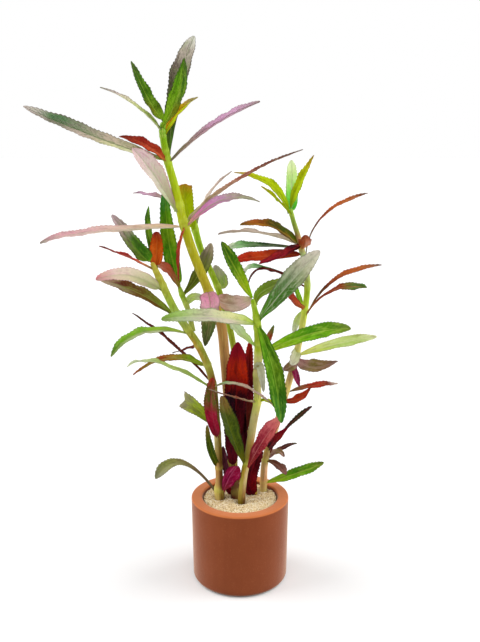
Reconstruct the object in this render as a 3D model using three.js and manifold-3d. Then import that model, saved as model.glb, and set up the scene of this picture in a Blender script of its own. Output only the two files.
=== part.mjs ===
import * as THREE from "three";
import { mergeVertices } from "three/addons/utils/BufferGeometryUtils.js";
import Module from "manifold-3d";

// A rice paddy herb in a small terracotta pot, in millimetres.
// The origin is the middle of the pot's underside, +Z is up, and the plant's front faces -Y.

// Sizes of the pot and of the gravel in it
const potHeight = 44;
const rimRadius = 25;
const footRadius = 24.4;
const wallThickness = 5.6;
const floorThickness = 5;
const rimRounding = 0.8;
const footRounding = 2.5;
const gravelTop = 42.4;
const gravelDip = 0.8;
const gap = 0.3;

// Sizes that all leaves share
const leafThickness = 0.7;
const leafFold = 0.22;
const grownLeafSteps = 7;
const youngLeafSteps = 6;
const leafSides = 4;
const leafStalkShare = 0.16;
const leafPointShare = 0.04;
const leafClearance = 0.7;
const stemSides = 8;
const stemStepLength = 11.6;
const buriedFoot = 28;

// Outlines of a leaf: where it is widest, and how full it is towards its two ends
const lance = { widest: 1.05, fullness: 0.85 };
const paddle = { widest: 1.45, fullness: 0.6 };
const spoon = { widest: 2.2, fullness: 0.6 };
const ladle = { widest: 3.2, fullness: 0.7 };
const strap = { widest: 1, fullness: 0.45 };
const blunt = { widest: 1, fullness: 0.3 };
const dagger = { widest: 0.75, fullness: 0.6 };

const wasm = await Module();
wasm.setup();
const plant = new THREE.Group();

// Turns a closed geometry into a solid that can be cut and joined.
function solidOf(geometry) {
  const bare = geometry.clone();
  bare.deleteAttribute("normal");
  bare.deleteAttribute("uv");
  const merged = mergeVertices(bare, 1e-5);
  const vertProperties = new Float32Array(merged.attributes.position.array);
  const triVerts = new Uint32Array(merged.index.array);
  return new wasm.Manifold(new wasm.Mesh({ numProp: 3, vertProperties, triVerts }));
}

// Turns a solid back into a geometry.
function geometryOf(solid) {
  const mesh = solid.getMesh();
  const geometry = new THREE.BufferGeometry();
  geometry.setAttribute("position", new THREE.BufferAttribute(new Float32Array(mesh.vertProperties), 3));
  geometry.setIndex(new THREE.BufferAttribute(new Uint32Array(mesh.triVerts), 1));
  geometry.computeVertexNormals();
  return geometry;
}

// Adds one named piece with a material of its own.
function addPiece(name, geometry, colour, roughness) {
  const material = new THREE.MeshStandardMaterial({ color: colour, roughness, metalness: 0 });
  const mesh = new THREE.Mesh(geometry, material);
  mesh.name = name;
  plant.add(mesh);
}

// A quarter turn of a rounded edge, as points of a turned profile.
function rounding(centreX, centreY, radius, startDegrees, endDegrees) {
  const steps = 4;
  return Array.from({ length: steps + 1 }, (_, i) => {
    const angle = THREE.MathUtils.degToRad(startDegrees + ((endDegrees - startDegrees) * i) / steps);
    return new THREE.Vector2(centreX + radius * Math.cos(angle), centreY + radius * Math.sin(angle));
  });
}

// A turned body that stands on the Z axis.
function turned(points, segments) {
  return new THREE.LatheGeometry(points, segments).rotateX(Math.PI / 2);
}

// The pot is a plain cup with a thick wall, a flat rim and a rounded foot.
const innerRadius = rimRadius - wallThickness;
const potProfile = [
  new THREE.Vector2(0, 0),
  ...rounding(footRadius - footRounding, footRounding, footRounding, -90, 0),
  ...rounding(rimRadius - rimRounding, potHeight - rimRounding, rimRounding, 0, 90),
  ...rounding(innerRadius + rimRounding, potHeight - rimRounding, rimRounding, 90, 180),
  new THREE.Vector2(innerRadius, floorThickness),
  new THREE.Vector2(0, floorThickness),
];
addPiece("terracotta_pot", turned(potProfile, 48), "#a9603a", 0.85);

// Each stem has points x, y, z and a radius, from its foot in the gravel to its tip.
const stems = {
  tall_stem: [
    [-0.5, 1, buriedFoot, 2.3],
    [-2.4, 1.6, 44, 2.4],
    [-4.6, 1.6, 74, 2.4],
    [-7, 0.6, 111, 2.5],
    [-9.6, -0.6, 136, 2.4],
    [-16, -1.2, 153, 2.2],
    [-22.8, -2, 171, 2.2],
    [-27.2, -2.4, 186, 2.1],
    [-30.4, -2.9, 201, 1.9],
    [-33.8, -3.4, 214, 1.7],
    [-35.6, -3.9, 226, 1.4],
    [-34.8, -4, 230, 1.1],
  ],
  back_stem: [
    [8, 5.4, buriedFoot, 1.7],
    [7, 6, 44, 1.9],
    [3.4, 9, 71.5, 1.7],
    [-0.8, 12, 103, 1.6],
    [-4.6, 15, 126, 1.6],
    [-9.5, 18, 144, 1.6],
    [-14.2, 20, 156, 1.6],
    [-19.4, 22, 167, 1.6],
    [-23, 24, 179, 1.8],
    [-25.6, 25, 190.5, 1.4],
  ],
  left_stem: [
    [-9.6, 0.6, buriedFoot, 2],
    [-10.6, 0.2, 45, 2.6],
    [-10.6, -0.8, 54, 1.9],
    [-11.4, -3, 79.5, 1.8],
    [-13.7, -6, 107.5, 1.8],
    [-19.2, -8, 124, 1.8],
    [-25.7, -9.5, 135, 1.8],
    [-31, -11, 144, 1.8],
    [-37, -13, 158, 1.7],
    [-40.8, -14.5, 167, 0.9],
  ],
  side_shoot: [
    [-22.8, -5, 132, 1.3],
    [-25.2, -1, 141.5, 1.3],
    [-28.4, 2.5, 148.5, 1.3],
    [-29.8, 4, 152.5, 0.8],
  ],
  front_stem: [
    [0.4, -6, buriedFoot, 1.8],
    [0.8, -4.8, 44, 1.9],
    [2, -5.8, 57.5, 1.8],
    [4, -7.2, 68.5, 1.8],
    [6.8, -10, 88.5, 1.9],
    [8.5, -11.5, 99, 1.9],
    [8.1, -13.5, 111, 1.8],
    [8.7, -16, 125, 1.9],
    [7.9, -18.5, 139.5, 1.8],
    [5.7, -20.5, 151, 0.9],
  ],
  right_stem: [
    [12.2, 9, buriedFoot, 1.8],
    [12.4, 9.6, 45, 1.9],
    [13.4, 10.4, 59.5, 1.8],
    [18.3, 12, 75, 1.7],
    [24.8, 14.5, 98, 1.7],
    [29.4, 16, 116, 1.7],
    [33.1, 17.5, 137, 1.6],
    [34.2, 18.5, 154, 1.5],
    [30.4, 19.5, 171.5, 1.4],
    [26.8, 20, 183, 1.2],
    [25.1, 20, 189, 1],
  ],
};

// A stem's centre line, and its radius at the same share of the line.
function stemLine(points) {
  const centres = points.map(([x, y, z]) => new THREE.Vector3(x, y, z));
  const line = new THREE.CatmullRomCurve3(centres, false, "catmullrom", 0.5);
  const radiusAt = (share) => {
    const place = share * (points.length - 1);
    const before = Math.min(Math.floor(place), points.length - 2);
    return THREE.MathUtils.lerp(points[before][3], points[before + 1][3], place - before);
  };
  return { line, radiusAt };
}

// A closed rod bent along a stem's centre line. A pocket for the stem has room added round it
// and under its foot.
function stemGeometry(points, room = 0) {
  const { line, radiusAt } = stemLine(points);
  const steps = Math.ceil(line.getLength() / stemStepLength);
  const rod = new THREE.CylinderGeometry(1, 1, 1, stemSides, steps);
  const place = rod.attributes.position;
  for (let i = 0; i < place.count; i += 1) {
    const share = place.getY(i) + 0.5;
    const radius = radiusAt(share) + room;
    const centre = line.getPoint(share);
    centre.z -= share === 0 ? room : 0;
    const across = new THREE.Vector3(place.getX(i) * radius, -place.getZ(i) * radius, 0);
    const upright = new THREE.Vector3(0, 0, 1);
    across.applyQuaternion(new THREE.Quaternion().setFromUnitVectors(upright, line.getTangent(share)));
    place.setXYZ(i, centre.x + across.x, centre.y + across.y, centre.z + across.z);
  }
  return rod;
}

// The share of a stem's line that lies at a given height.
function shareAtHeight(line, height) {
  let low = 0;
  let high = 1;
  while (high - low > 1e-4) {
    const middle = (low + high) / 2;
    if (line.getPoint(middle).z < height) {
      low = middle;
    } else {
      high = middle;
    }
  }
  return low;
}

// The breadth of a leaf along its length, as a share of its full width.
function leafBreadth(share, outline) {
  const blade = Math.sin(Math.PI * share ** outline.widest) ** outline.fullness;
  return leafStalkShare * (1 - share) + leafPointShare + (1 - leafStalkShare) * blade;
}

// A leaf's blade: a flat four-sided rod, bent from the stem through its middle to its tip.
// The fold lifts both edges towards the upper side, and sets the middle back as far.
// A leaf at the very top of its stem starts above the stem's end, and the others beside it.
function leafGeometry(stemPoints, [height, middle, tip, width, outline, face, joined, kept = 1]) {
  const { line, radiusAt } = stemLine(stemPoints);
  const share = shareAtHeight(line, height);
  const centre = line.getPoint(share);
  const outward = new THREE.Vector3(...middle).sub(centre);
  if (height < stemPoints.at(-1)[2]) {
    outward.addScaledVector(line.getTangent(share), -outward.dot(line.getTangent(share)));
  }
  const reach = joined ? 0 : radiusAt(share) + leafClearance;
  const start = centre.clone().addScaledVector(outward.normalize(), reach);
  const end = new THREE.Vector3(...tip);
  const bend = new THREE.Vector3(...middle).multiplyScalar(2);
  bend.addScaledVector(start, -0.5).addScaledVector(end, -0.5);
  const spine = new THREE.QuadraticBezierCurve3(start, bend, end);
  const steps = joined ? youngLeafSteps : grownLeafSteps;
  const blade = new THREE.CylinderGeometry(1, 1, 1, leafSides, steps);
  const place = blade.attributes.position;
  for (let i = 0; i < place.count; i += 1) {
    const along = place.getY(i) + 0.5;
    const breadth = leafBreadth(along * kept, outline);
    const forward = spine.getTangent(along);
    const up = new THREE.Vector3(...face);
    up.addScaledVector(forward, -up.dot(forward)).normalize();
    const side = new THREE.Vector3().crossVectors(forward, up);
    const across = (place.getX(i) * breadth * width) / 2;
    const fold = (Math.abs(across) - (breadth * width) / 4) * leafFold * 2;
    const lift = fold + (place.getZ(i) * leafThickness * (0.4 + 0.6 * breadth)) / 2;
    const point = spine.getPoint(along).addScaledVector(side, across).addScaledVector(up, lift);
    place.setXYZ(i, point.x, point.y, point.z);
  }
  return blade;
}

// Every leaf: the height of its joint on the stem, its middle, its tip, its width, its outline,
// and the way its upper side faces. Those marked young are small or thin leaves
// that are joined in one solid with their stem. Broken leaves end bluntly.
const young = true;
const broken = 0.62;
const leaves = {
  tall_stem: [
    [230, [-43.4, 4, 243], [-50.9, 10, 258.2], 6.4, dagger, [0.45, -0.9, 0.3]],
    [226, [-46.6, -16, 237.5], [-59.1, -28, 243.4], 3, strap, [0.2, 0.3, 1], young],
    [217, [-29.6, 9, 246.9], [-21.3, 13, 269.9], 10.4, paddle, [-0.3, -1, 0]],
    [229, [-27.5, -12, 242.2], [-24, -20, 256], 7.6, lance, [-0.4, 0.9, 0.2]],
    [224, [-29, 0, 234.5], [-19.4, 2, 241.5], 5, dagger, [0, -0.5, 1], young],
    [213, [-12, -14, 228.8], [8.5, -26, 237.7], 6.8, paddle, [-0.3, -0.5, 1]],
    [214, [-63.3, -14, 223.4], [-93.2, -24, 235.9], 7.4, paddle, [0.1, 0.9, 0.5]],
    [212, [-41.7, -13, 219.8], [-53.2, -19, 223.3], 5, lance, [0.2, -0.8, 0.5], young],
    [192, [-39.8, -7, 208], [-47.5, -17, 218.4], 10, paddle, [0.4, 0.9, 0.1]],
    [193, [-43.2, 14, 196.4], [-53.6, 22, 196.7], 1.8, strap, [0, -0.4, 1], young],
    [183, [-69.7, -14, 181.1], [-89.9, -22, 176.6], 4.8, strap, [0, 0.8, 0.7]],
    [185, [0, 9, 204.5], [31.2, 22, 218], 3.4, dagger, [-0.3, -0.7, 0.7]],
    [183, [-7.7, -14, 195.9], [8.7, -30, 195.5], 5, lance, [0, 0.8, 0.6]],
    [182, [-27.8, -18, 174.1], [-27.5, -25, 160], 2.8, strap, [-0.9, -0.3, 0.3], young],
    [151, [-13.9, -19, 144.5], [-16.1, -24, 129.5], 9.6, dagger, [0, -0.8, 0.6]],
    [146, [-3, 11, 142.3], [5.7, 26, 142.5], 10, strap, [0, -0.9, 0.5]],
    [68, [-1.9, -5, 100.2], [-1, -8, 127.4], 12.6, paddle, [0, -1, 0.1]],
    [62, [-4.4, -11, 83.6], [-5.3, -16, 104.8], 7.6, strap, [0.1, -1, 0]],
    [46, [-6.4, 1, 56.2], [-8.7, 3, 69.6], 4.6, strap, [0, -1, 0], young],
    [45, [-5.8, 0, 46.8], [-6.9, -0.2, 55], 3.2, strap, [0, -1, 0], young],
  ],
  back_stem: [
    [180, [-26.8, 21, 190.4], [-27.7, 18, 201.6], 8.6, strap, [0.2, -1, 0.2], false, broken],
    [178, [-17, 32, 194.2], [-4.2, 44, 207.1], 3.2, strap, [-0.3, -0.4, 1], young],
    [150, [-10, 30, 149.2], [-13.5, 44, 157.2], 9.4, paddle, [0, -0.8, 0.6]],
    [78, [4, 3, 103.3], [5, 7, 124.1], 6.5, strap, [0, -1, 0.1]],
    [57, [1.5, 0.5, 79.8], [2.5, 0.5, 97.8], 4.6, lance, [-0.1, -1, 0], young],
    [43, [5.4, 0, 54.4], [10.8, -2, 69.5], 7.8, blunt, [0, -1, 0]],
  ],
  left_stem: [
    [167, [-48.3, -8, 172.6], [-60.9, 1, 187.7], 8.4, strap, [0.5, -0.8, 0.4]],
    [163, [-51.3, -20, 170.7], [-61.9, -30, 176.4], 3.2, lance, [0.2, -0.5, 0.9], young],
    [156, [-50.8, -22, 162.3], [-62.7, -36, 162.3], 7.4, strap, [0, -0.9, 0.45]],
    [142, [-49.2, -6, 151.7], [-68.5, 4, 155.6], 7.4, paddle, [0.3, -0.7, 0.8]],
    [165, [-39.2, -6.6, 172.2], [-39.6, -4, 180.1], 7, blunt, [0, -0.9, 0.5]],
    [160, [-43.7, 2, 179.3], [-44.8, 14, 190.8], 3.6, lance, [0, -0.9, 0.4], young],
    [79, [-13.9, -17, 98.1], [-12.4, -27, 115.1], 7.4, strap, [-0.2, -0.9, 0.3]],
    [84, [-21.6, 0, 90.6], [-29.7, 8, 93.2], 9.4, paddle, [0.1, -1, 0.2], false, broken],
    [60, [-14.4, -8, 71.9], [-16.1, -12, 86.6], 3.8, strap, [0, -0.9, 0.3], young],
    [134, [-47.1, -18, 134.3], [-58.5, -30, 126], 5.8, paddle, [-0.2, -0.5, 0.9]],
    [106, [-35.1, 6, 124.4], [-55.1, 16, 136.6], 2, strap, [0.3, -0.5, 0.9], young],
    [103, [-38.6, -14, 118.8], [-52, -26, 120.1], 2.6, strap, [0, -0.4, 1], young],
    [116, [-36.2, 0, 117.2], [-54.5, 8, 106], 5, strap, [-0.2, -0.4, 1]],
    [104, [0, -26, 111.7], [14.9, -36, 105.1], 1.8, strap, [0, -0.6, 0.9], young],
    [48, [-4.6, -5.8, 56.9], [-0.8, -8, 63.4], 9.2, paddle, [0.3, -1, 0.2]],
    [47, [-30.6, 5, 59.7], [-43.4, 0, 52.8], 7.2, ladle, [-0.2, -0.8, 0.7]],
    [126, [-24.8, -6, 124.1], [-33.4, -2, 120.3], 1.4, strap, [0, -0.5, 0.9], young],
  ],
  side_shoot: [
    [156, [-34.3, 3, 173.9], [-35.6, 0, 199.2], 8.2, strap, [0, -1, 0]],
    [151, [-34.5, -2, 161.3], [-40.2, -7, 164.2], 6.4, paddle, [0.4, -0.7, 0.7], young],
    [149, [-18.7, 7.4, 161], [-14.2, 8, 173.3], 7.8, paddle, [0, -0.9, 0.4]],
    [144, [-22.7, 6, 146.8], [-17, 9, 144.2], 4.2, strap, [0, -0.9, 0.5], young],
  ],
  front_stem: [
    [152, [-1.3, -28, 165], [-8, -34, 178.8], 7, paddle, [0.3, -0.9, 0.3]],
    [148, [11.2, -14, 153.9], [23.7, -8, 157.6], 6.2, paddle, [-0.1, -0.8, 0.6]],
    [142, [21.9, -28, 159.6], [34.5, -36, 175], 10.6, paddle, [-0.3, -1, 0.3]],
    [140, [-14.4, -38, 146.7], [-33.7, -46, 146.7], 7.6, strap, [0, -0.8, 0.6]],
    [137, [15.3, -30, 119.3], [18.6, -40, 98], 9.4, paddle, [0.2, -1, 0.3]],
    [129, [0, -22, 135.7], [-4.6, -23, 141.1], 6.5, paddle, [0.3, 0.9, 0.3]],
    [98, [-0.9, -20, 103.1], [-14.7, -30, 110.8], 1.8, strap, [0, -0.6, 0.8], young],
    [98, [13.4, -16, 100.5], [16.4, -24, 99], 2.4, lance, [0, -0.6, 0.8], young],
    [66, [-3.8, -19, 86.2], [-8.3, -30, 107.4], 9, paddle, [0.3, 0.9, 0.2]],
    [65, [12, -18, 82.7], [18.7, -30, 96.3], 8.4, paddle, [-0.3, -0.9, 0.4]],
    [113, [9.2, -18, 117.8], [11.1, -21, 106.4], 4.4, strap, [0.2, -1, 0.1], young],
    [124, [32.9, -16, 133.5], [49.9, -30, 139], 8.6, paddle, [0, -0.9, 0.5]],
    [121, [13.4, -10, 129.4], [16.3, -7, 135.6], 3.6, dagger, [0, -1, 0.3], young],
  ],
  right_stem: [
    [190, [29, 16, 201.9], [35.7, 12, 215.3], 5.2, lance, [-0.4, -0.9, 0.3]],
    [188, [26.5, 30, 200.9], [26.9, 42, 212.7], 7, strap, [0, -0.9, 0.6]],
    [188, [15.1, 25, 201.1], [-3.1, 36, 206.5], 5.6, lance, [0.3, -0.7, 0.8]],
    [186, [17.3, 6, 195.2], [9.8, -4, 201.3], 3, paddle, [0.3, 0.5, 0.8], young],
    [173, [14.8, 12, 181.7], [0, 2, 182.6], 7, dagger, [0.2, -0.7, 0.8]],
    [171, [8.2, 28, 176.9], [-11.7, 40, 174.1], 4.2, strap, [0.1, 0.6, 0.9], young],
    [170, [5.2, 33, 169.6], [-7.5, 44, 166.4], 5, spoon, [0, -0.9, 0.5]],
    [167, [8.3, 6, 166.9], [-2.9, -4, 166.1], 6.2, strap, [0, -0.8, 0.6]],
    [171, [21.4, 4, 169.1], [8.9, -8, 165.3], 4, strap, [0, -0.8, 0.6], young],
    [169, [32, 10, 173.1], [31.2, 2, 177.8], 7, lance, [0, 0.8, 0.6], young],
    [151, [11.4, 28, 158.5], [2.1, 38, 153.8], 4.4, ladle, [0, -0.8, 0.6], young],
    [149, [12.5, 14, 159.6], [4, 8, 152], 1.8, strap, [0.3, -0.5, 0.9], young],
    [167, [43.3, 26, 186], [66.8, 38, 195.9], 3.2, ladle, [-0.3, -0.8, 0.6]],
    [138, [50, 20, 154.3], [73, 24, 160.1], 3.4, spoon, [-0.2, -0.7, 0.8]],
    [137, [45.4, 2, 151], [59.5, -12, 154.7], 5.4, ladle, [-0.2, -0.7, 0.8]],
    [137, [29.8, 28, 145.8], [28.9, 38, 152.7], 2.8, strap, [0, -0.8, 0.6], young],
    [138, [26.4, 8, 145.4], [23.7, 0, 153.9], 4.2, strap, [0.3, 0.8, 0.5], young],
    [137, [30.1, 28, 129.7], [29.1, 34, 121.2], 4, strap, [0, -0.9, 0.3], young],
    [115, [52.4, 26, 118.2], [74.6, 38, 118.8], 6.8, paddle, [0, -0.8, 0.6]],
    [113, [36.3, 6, 111.1], [48.3, -2, 116.2], 8, lance, [0, -0.8, 0.7]],
    [117, [27.4, 6, 115.5], [24.8, 0, 114.1], 6.4, strap, [0.2, -1, 0.3], young],
    [109, [28.8, 8, 105], [30.2, 6, 100.5], 3.6, dagger, [0, -1, 0.2], young],
    [111, [25.9, 8, 110.8], [21.5, 2, 110.4], 5.6, strap, [0, -0.9, 0.4], young],
    [96, [37.6, 16, 97.9], [52.5, 26, 95.9], 4, paddle, [-0.1, -0.7, 0.8]],
    [90, [29.9, 4, 95.1], [35.1, -4, 103.5], 4.2, lance, [-0.3, -0.8, 0.5], young],
    [65, [23.7, 6, 78.2], [36.6, 4, 90.8], 3.8, ladle, [-0.4, -0.8, 0.5]],
    [64, [17.9, 2, 73.3], [24, -4, 82], 5, lance, [-0.3, -0.8, 0.5], young],
    [59, [22.5, 18, 62.4], [31.1, 26, 61.7], 2.4, strap, [-0.2, -0.6, 0.9], young],
    [59, [20.2, 4, 58.2], [23.6, 0, 55], 4.6, paddle, [0.2, -0.6, 0.8], young],
    [59, [19.5, 10, 63.8], [23, 9, 61], 3.6, strap, [0, -0.8, 0.6], young],
    [47, [29.3, 7, 52.9], [43.4, 4, 60.1], 6.8, paddle, [-0.2, -0.8, 0.7]],
  ],
};

// The plant: its stems with their young leaves, and the grown leaves as pieces of their own.
const stemColours = {
  tall_stem: "#a8ac32",
  back_stem: "#9a9440",
  left_stem: "#a39a48",
  side_shoot: "#8fae3c",
  front_stem: "#b4bf6a",
  right_stem: "#c0b26a",
};
for (const [stemName, points] of Object.entries(stems)) {
  let stemSolid = solidOf(stemGeometry(points));
  let leafNumber = 0;
  for (const leaf of leaves[stemName]) {
    const blade = leafGeometry(points, leaf);
    if (leaf.includes(young)) {
      stemSolid = stemSolid.add(solidOf(blade));
    } else {
      leafNumber += 1;
      addPiece(`${stemName}_leaf_${leafNumber}`, blade, "#5f8f35", 0.55);
    }
  }
  addPiece(stemName, geometryOf(stemSolid), stemColours[stemName], 0.5);
}

// The gravel fills the pot to just under the rim, with a pocket round each stem that stands in it.
const gravelRadius = innerRadius - gap;
const gravelProfile = [
  new THREE.Vector2(0, floorThickness + gap),
  new THREE.Vector2(gravelRadius, floorThickness + gap),
  new THREE.Vector2(gravelRadius, gravelTop - gravelDip),
  new THREE.Vector2(gravelRadius * 0.9, gravelTop),
  new THREE.Vector2(gravelRadius * 0.5, gravelTop),
  new THREE.Vector2(0, gravelTop - gravelDip),
];
let gravelSolid = solidOf(turned(gravelProfile, 48));
for (const points of Object.values(stems)) {
  if (points[0][2] === buriedFoot) {
    gravelSolid = gravelSolid.subtract(solidOf(stemGeometry(points, gap)));
  }
}
addPiece("gravel", geometryOf(gravelSolid), "#dccba4", 0.9);

export default plant;
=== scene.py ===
import math
import random

import bmesh
import bpy
from mathutils import Matrix, Vector, noise


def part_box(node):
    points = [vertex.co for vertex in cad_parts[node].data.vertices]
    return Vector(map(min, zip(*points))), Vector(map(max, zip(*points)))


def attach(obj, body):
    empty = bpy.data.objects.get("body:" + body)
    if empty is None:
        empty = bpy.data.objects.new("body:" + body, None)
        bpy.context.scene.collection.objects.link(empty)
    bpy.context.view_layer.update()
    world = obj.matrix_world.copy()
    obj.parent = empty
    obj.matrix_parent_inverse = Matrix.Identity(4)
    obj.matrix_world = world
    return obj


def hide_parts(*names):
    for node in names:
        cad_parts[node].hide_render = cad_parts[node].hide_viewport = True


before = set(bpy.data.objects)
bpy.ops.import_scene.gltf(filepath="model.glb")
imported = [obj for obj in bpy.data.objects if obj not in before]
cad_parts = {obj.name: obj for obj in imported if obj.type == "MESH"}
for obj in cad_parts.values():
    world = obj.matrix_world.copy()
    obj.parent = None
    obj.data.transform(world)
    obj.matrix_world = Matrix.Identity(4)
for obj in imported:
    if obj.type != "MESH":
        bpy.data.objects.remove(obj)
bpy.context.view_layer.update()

# The pot is a small cup of fired terracotta with a thick wall, a flat rim and a rounded foot.
# It is pressed in a mould and left unglazed, so its skin is matt, finely pitted and a little
# uneven in colour. It stands on its flat foot.
MM = 0.001
pot_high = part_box("terracotta_pot")[1]
RIM_RADIUS = pot_high[0]
POT_HEIGHT = pot_high[2]
POT_TAPER = 0.6 * MM
POT_WALL = 5.6 * MM
FOOT_RADIUS = RIM_RADIUS - POT_TAPER
BORE_RADIUS = RIM_RADIUS - POT_WALL
POT_FLOOR = 5 * MM
RIM_ROUNDING = 0.8 * MM
FOOT_ROUNDING = 2.5 * MM
ROUNDING_STEPS = 6
POT_STEPS = 128
CLAY_CLOUD = 18 * MM
CLAY_LUMP = 3 * MM
CLAY_GLOSS = 2 * MM
CLAY_PIT = 0.9 * MM
CLAY_SPECK = 0.5 * MM
CLAY_RELIEF = 0.12 * MM


class Level:
    """A value inside a finish. Sums written with it add the Math nodes that they need."""

    def __init__(self, finish, socket):
        self.finish = finish
        self.socket = socket

    def sum(self, operation, first, second=0.0):
        return self.finish.node("ShaderNodeMath", {"operation": operation}, {0: first, 1: second})

    def __add__(self, other):
        return self.sum("ADD", self, other)

    def __radd__(self, other):
        return self.sum("ADD", other, self)

    def __sub__(self, other):
        return self.sum("SUBTRACT", self, other)

    def __rsub__(self, other):
        return self.sum("SUBTRACT", other, self)

    def __mul__(self, other):
        return self.sum("MULTIPLY", self, other)

    def __rmul__(self, other):
        return self.sum("MULTIPLY", other, self)

    def __truediv__(self, other):
        return self.sum("DIVIDE", self, other)

    def __abs__(self):
        return self.sum("ABSOLUTE", self)

    def part(self):
        """What is left after the whole numbers are taken off."""
        return self.sum("FRACT", self)

    def step(self, low, high):
        """Goes smoothly from 0 at low to 1 at high."""
        settings = {"interpolation_type": "SMOOTHSTEP"}
        return self.finish.node("ShaderNodeMapRange", settings, {"Value": self, 1: low, 2: high})


class Finish:
    """One material, and the ways that its nodes are added."""

    def __init__(self, name):
        self.material = bpy.data.materials.new(name)
        self.material.use_nodes = True
        self.tree = self.material.node_tree
        self.tree.nodes.clear()

    def node(self, kind, settings=None, sockets=None, output=0):
        """Adds a node: its settings first, then the values or links of its sockets."""
        node = self.tree.nodes.new(kind)
        for name, value in (settings or {}).items():
            if name == "stops":
                ramp = node.color_ramp
                while len(ramp.elements) < len(value):
                    ramp.elements.new(1.0)
                for element, (place, colour) in zip(ramp.elements, value, strict=True):
                    element.position = place
                    element.color = colour
            else:
                setattr(node, name, value)
        for name, value in (sockets or {}).items():
            if isinstance(value, Level):
                self.tree.links.new(value.socket, node.inputs[name])
            else:
                node.inputs[name].default_value = value
        return Level(self, node.outputs[output])

    def place(self):
        """Where a spot lies on the piece, in metres."""
        return self.node("ShaderNodeTexCoord", output="Object")

    def map(self, name):
        """Where a spot lies on one of the piece's own flat maps."""
        return self.node("ShaderNodeUVMap", {"uv_map": name})

    def mark(self, name):
        """A value that the mesh carries at its corners."""
        return self.node("ShaderNodeAttribute", {"attribute_name": name}, output=2)

    def axis(self, name, where):
        """How far a place lies along one axis."""
        return self.node("ShaderNodeSeparateXYZ", {}, {0: where}, output=name)

    def scaled(self, where, *shares):
        """A place with its axes scaled, so that spots are drawn out to streaks."""
        return self.node("ShaderNodeMapping", {}, {"Vector": where, "Scale": shares})

    def grain(self, size, detail=3.0, roughness=0.55, where=None):
        """Soft random spots of about the given size."""
        where = where or self.place()
        sockets = {"Vector": where, "Scale": 1 / size, "Detail": detail, "Roughness": roughness}
        return self.node("ShaderNodeTexNoise", {}, sockets)

    def ramp(self, factor, stops):
        return self.node("ShaderNodeValToRGB", {"stops": stops}, {"Fac": factor})

    def mix(self, factor, first, second):
        """A colour between two others, the first at 0 and the second at 1."""
        settings = {"data_type": "RGBA", "blend_type": "MIX", "clamp_factor": True}
        return self.node("ShaderNodeMix", settings, {0: factor, 6: first, 7: second}, output=2)

    def bump(self, height, depth, strength):
        sockets = {"Height": height, "Distance": depth, "Strength": strength}
        return self.node("ShaderNodeBump", {}, sockets)

    def surface(self, **sockets):
        names = {name.replace("_", " "): value for name, value in sockets.items()}
        return self.node("ShaderNodeBsdfPrincipled", {}, names)

    def show(self, shader):
        output = self.tree.nodes.new("ShaderNodeOutputMaterial")
        self.tree.links.new(shader.socket, output.inputs["Surface"])
        return self.material


def paint(red, green, blue):
    """A colour as the eye reads it, 0 to 255, turned to the light it reflects."""
    shares = [channel / 255 for channel in (red, green, blue)]
    return (*[c / 12.92 if c < 0.04 else ((c + 0.055) / 1.055) ** 2.4 for c in shares], 1.0)


def piece_from(name, shape, materials, smooth=True):
    """Makes a scene piece from a finished shape."""
    mesh = bpy.data.meshes.new(name)
    shape.to_mesh(mesh)
    shape.free()
    for material in materials:
        mesh.materials.append(material)
    mesh.polygons.foreach_set("use_smooth", [smooth] * len(mesh.polygons))
    piece = bpy.data.objects.new(name, mesh)
    bpy.context.scene.collection.objects.link(piece)
    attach(piece, "root")
    return piece


def rounded(centre_x, centre_z, radius, start, end):
    """Points along a rounded edge, from one angle in degrees to another."""
    turn = end - start
    angles = [math.radians(start + turn * i / ROUNDING_STEPS) for i in range(ROUNDING_STEPS + 1)]
    return [(centre_x + radius * math.cos(a), centre_z + radius * math.sin(a)) for a in angles]


def turned(profile, steps):
    """A closed body turned round the upright axis, from a profile that starts and ends on it."""
    shape = bmesh.new()
    corners = [shape.verts.new((x, 0, z)) for x, z in profile]
    edges = [shape.edges.new(pair) for pair in zip(corners, corners[1:])]
    bmesh.ops.spin(
        shape, geom=corners + edges, axis=(0, 0, 1), cent=(0, 0, 0), angle=2 * math.pi,
        steps=steps, use_merge=True,
    )
    bmesh.ops.remove_doubles(shape, verts=shape.verts, dist=1e-6)
    bmesh.ops.recalc_face_normals(shape, faces=shape.faces)
    return shape


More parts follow.
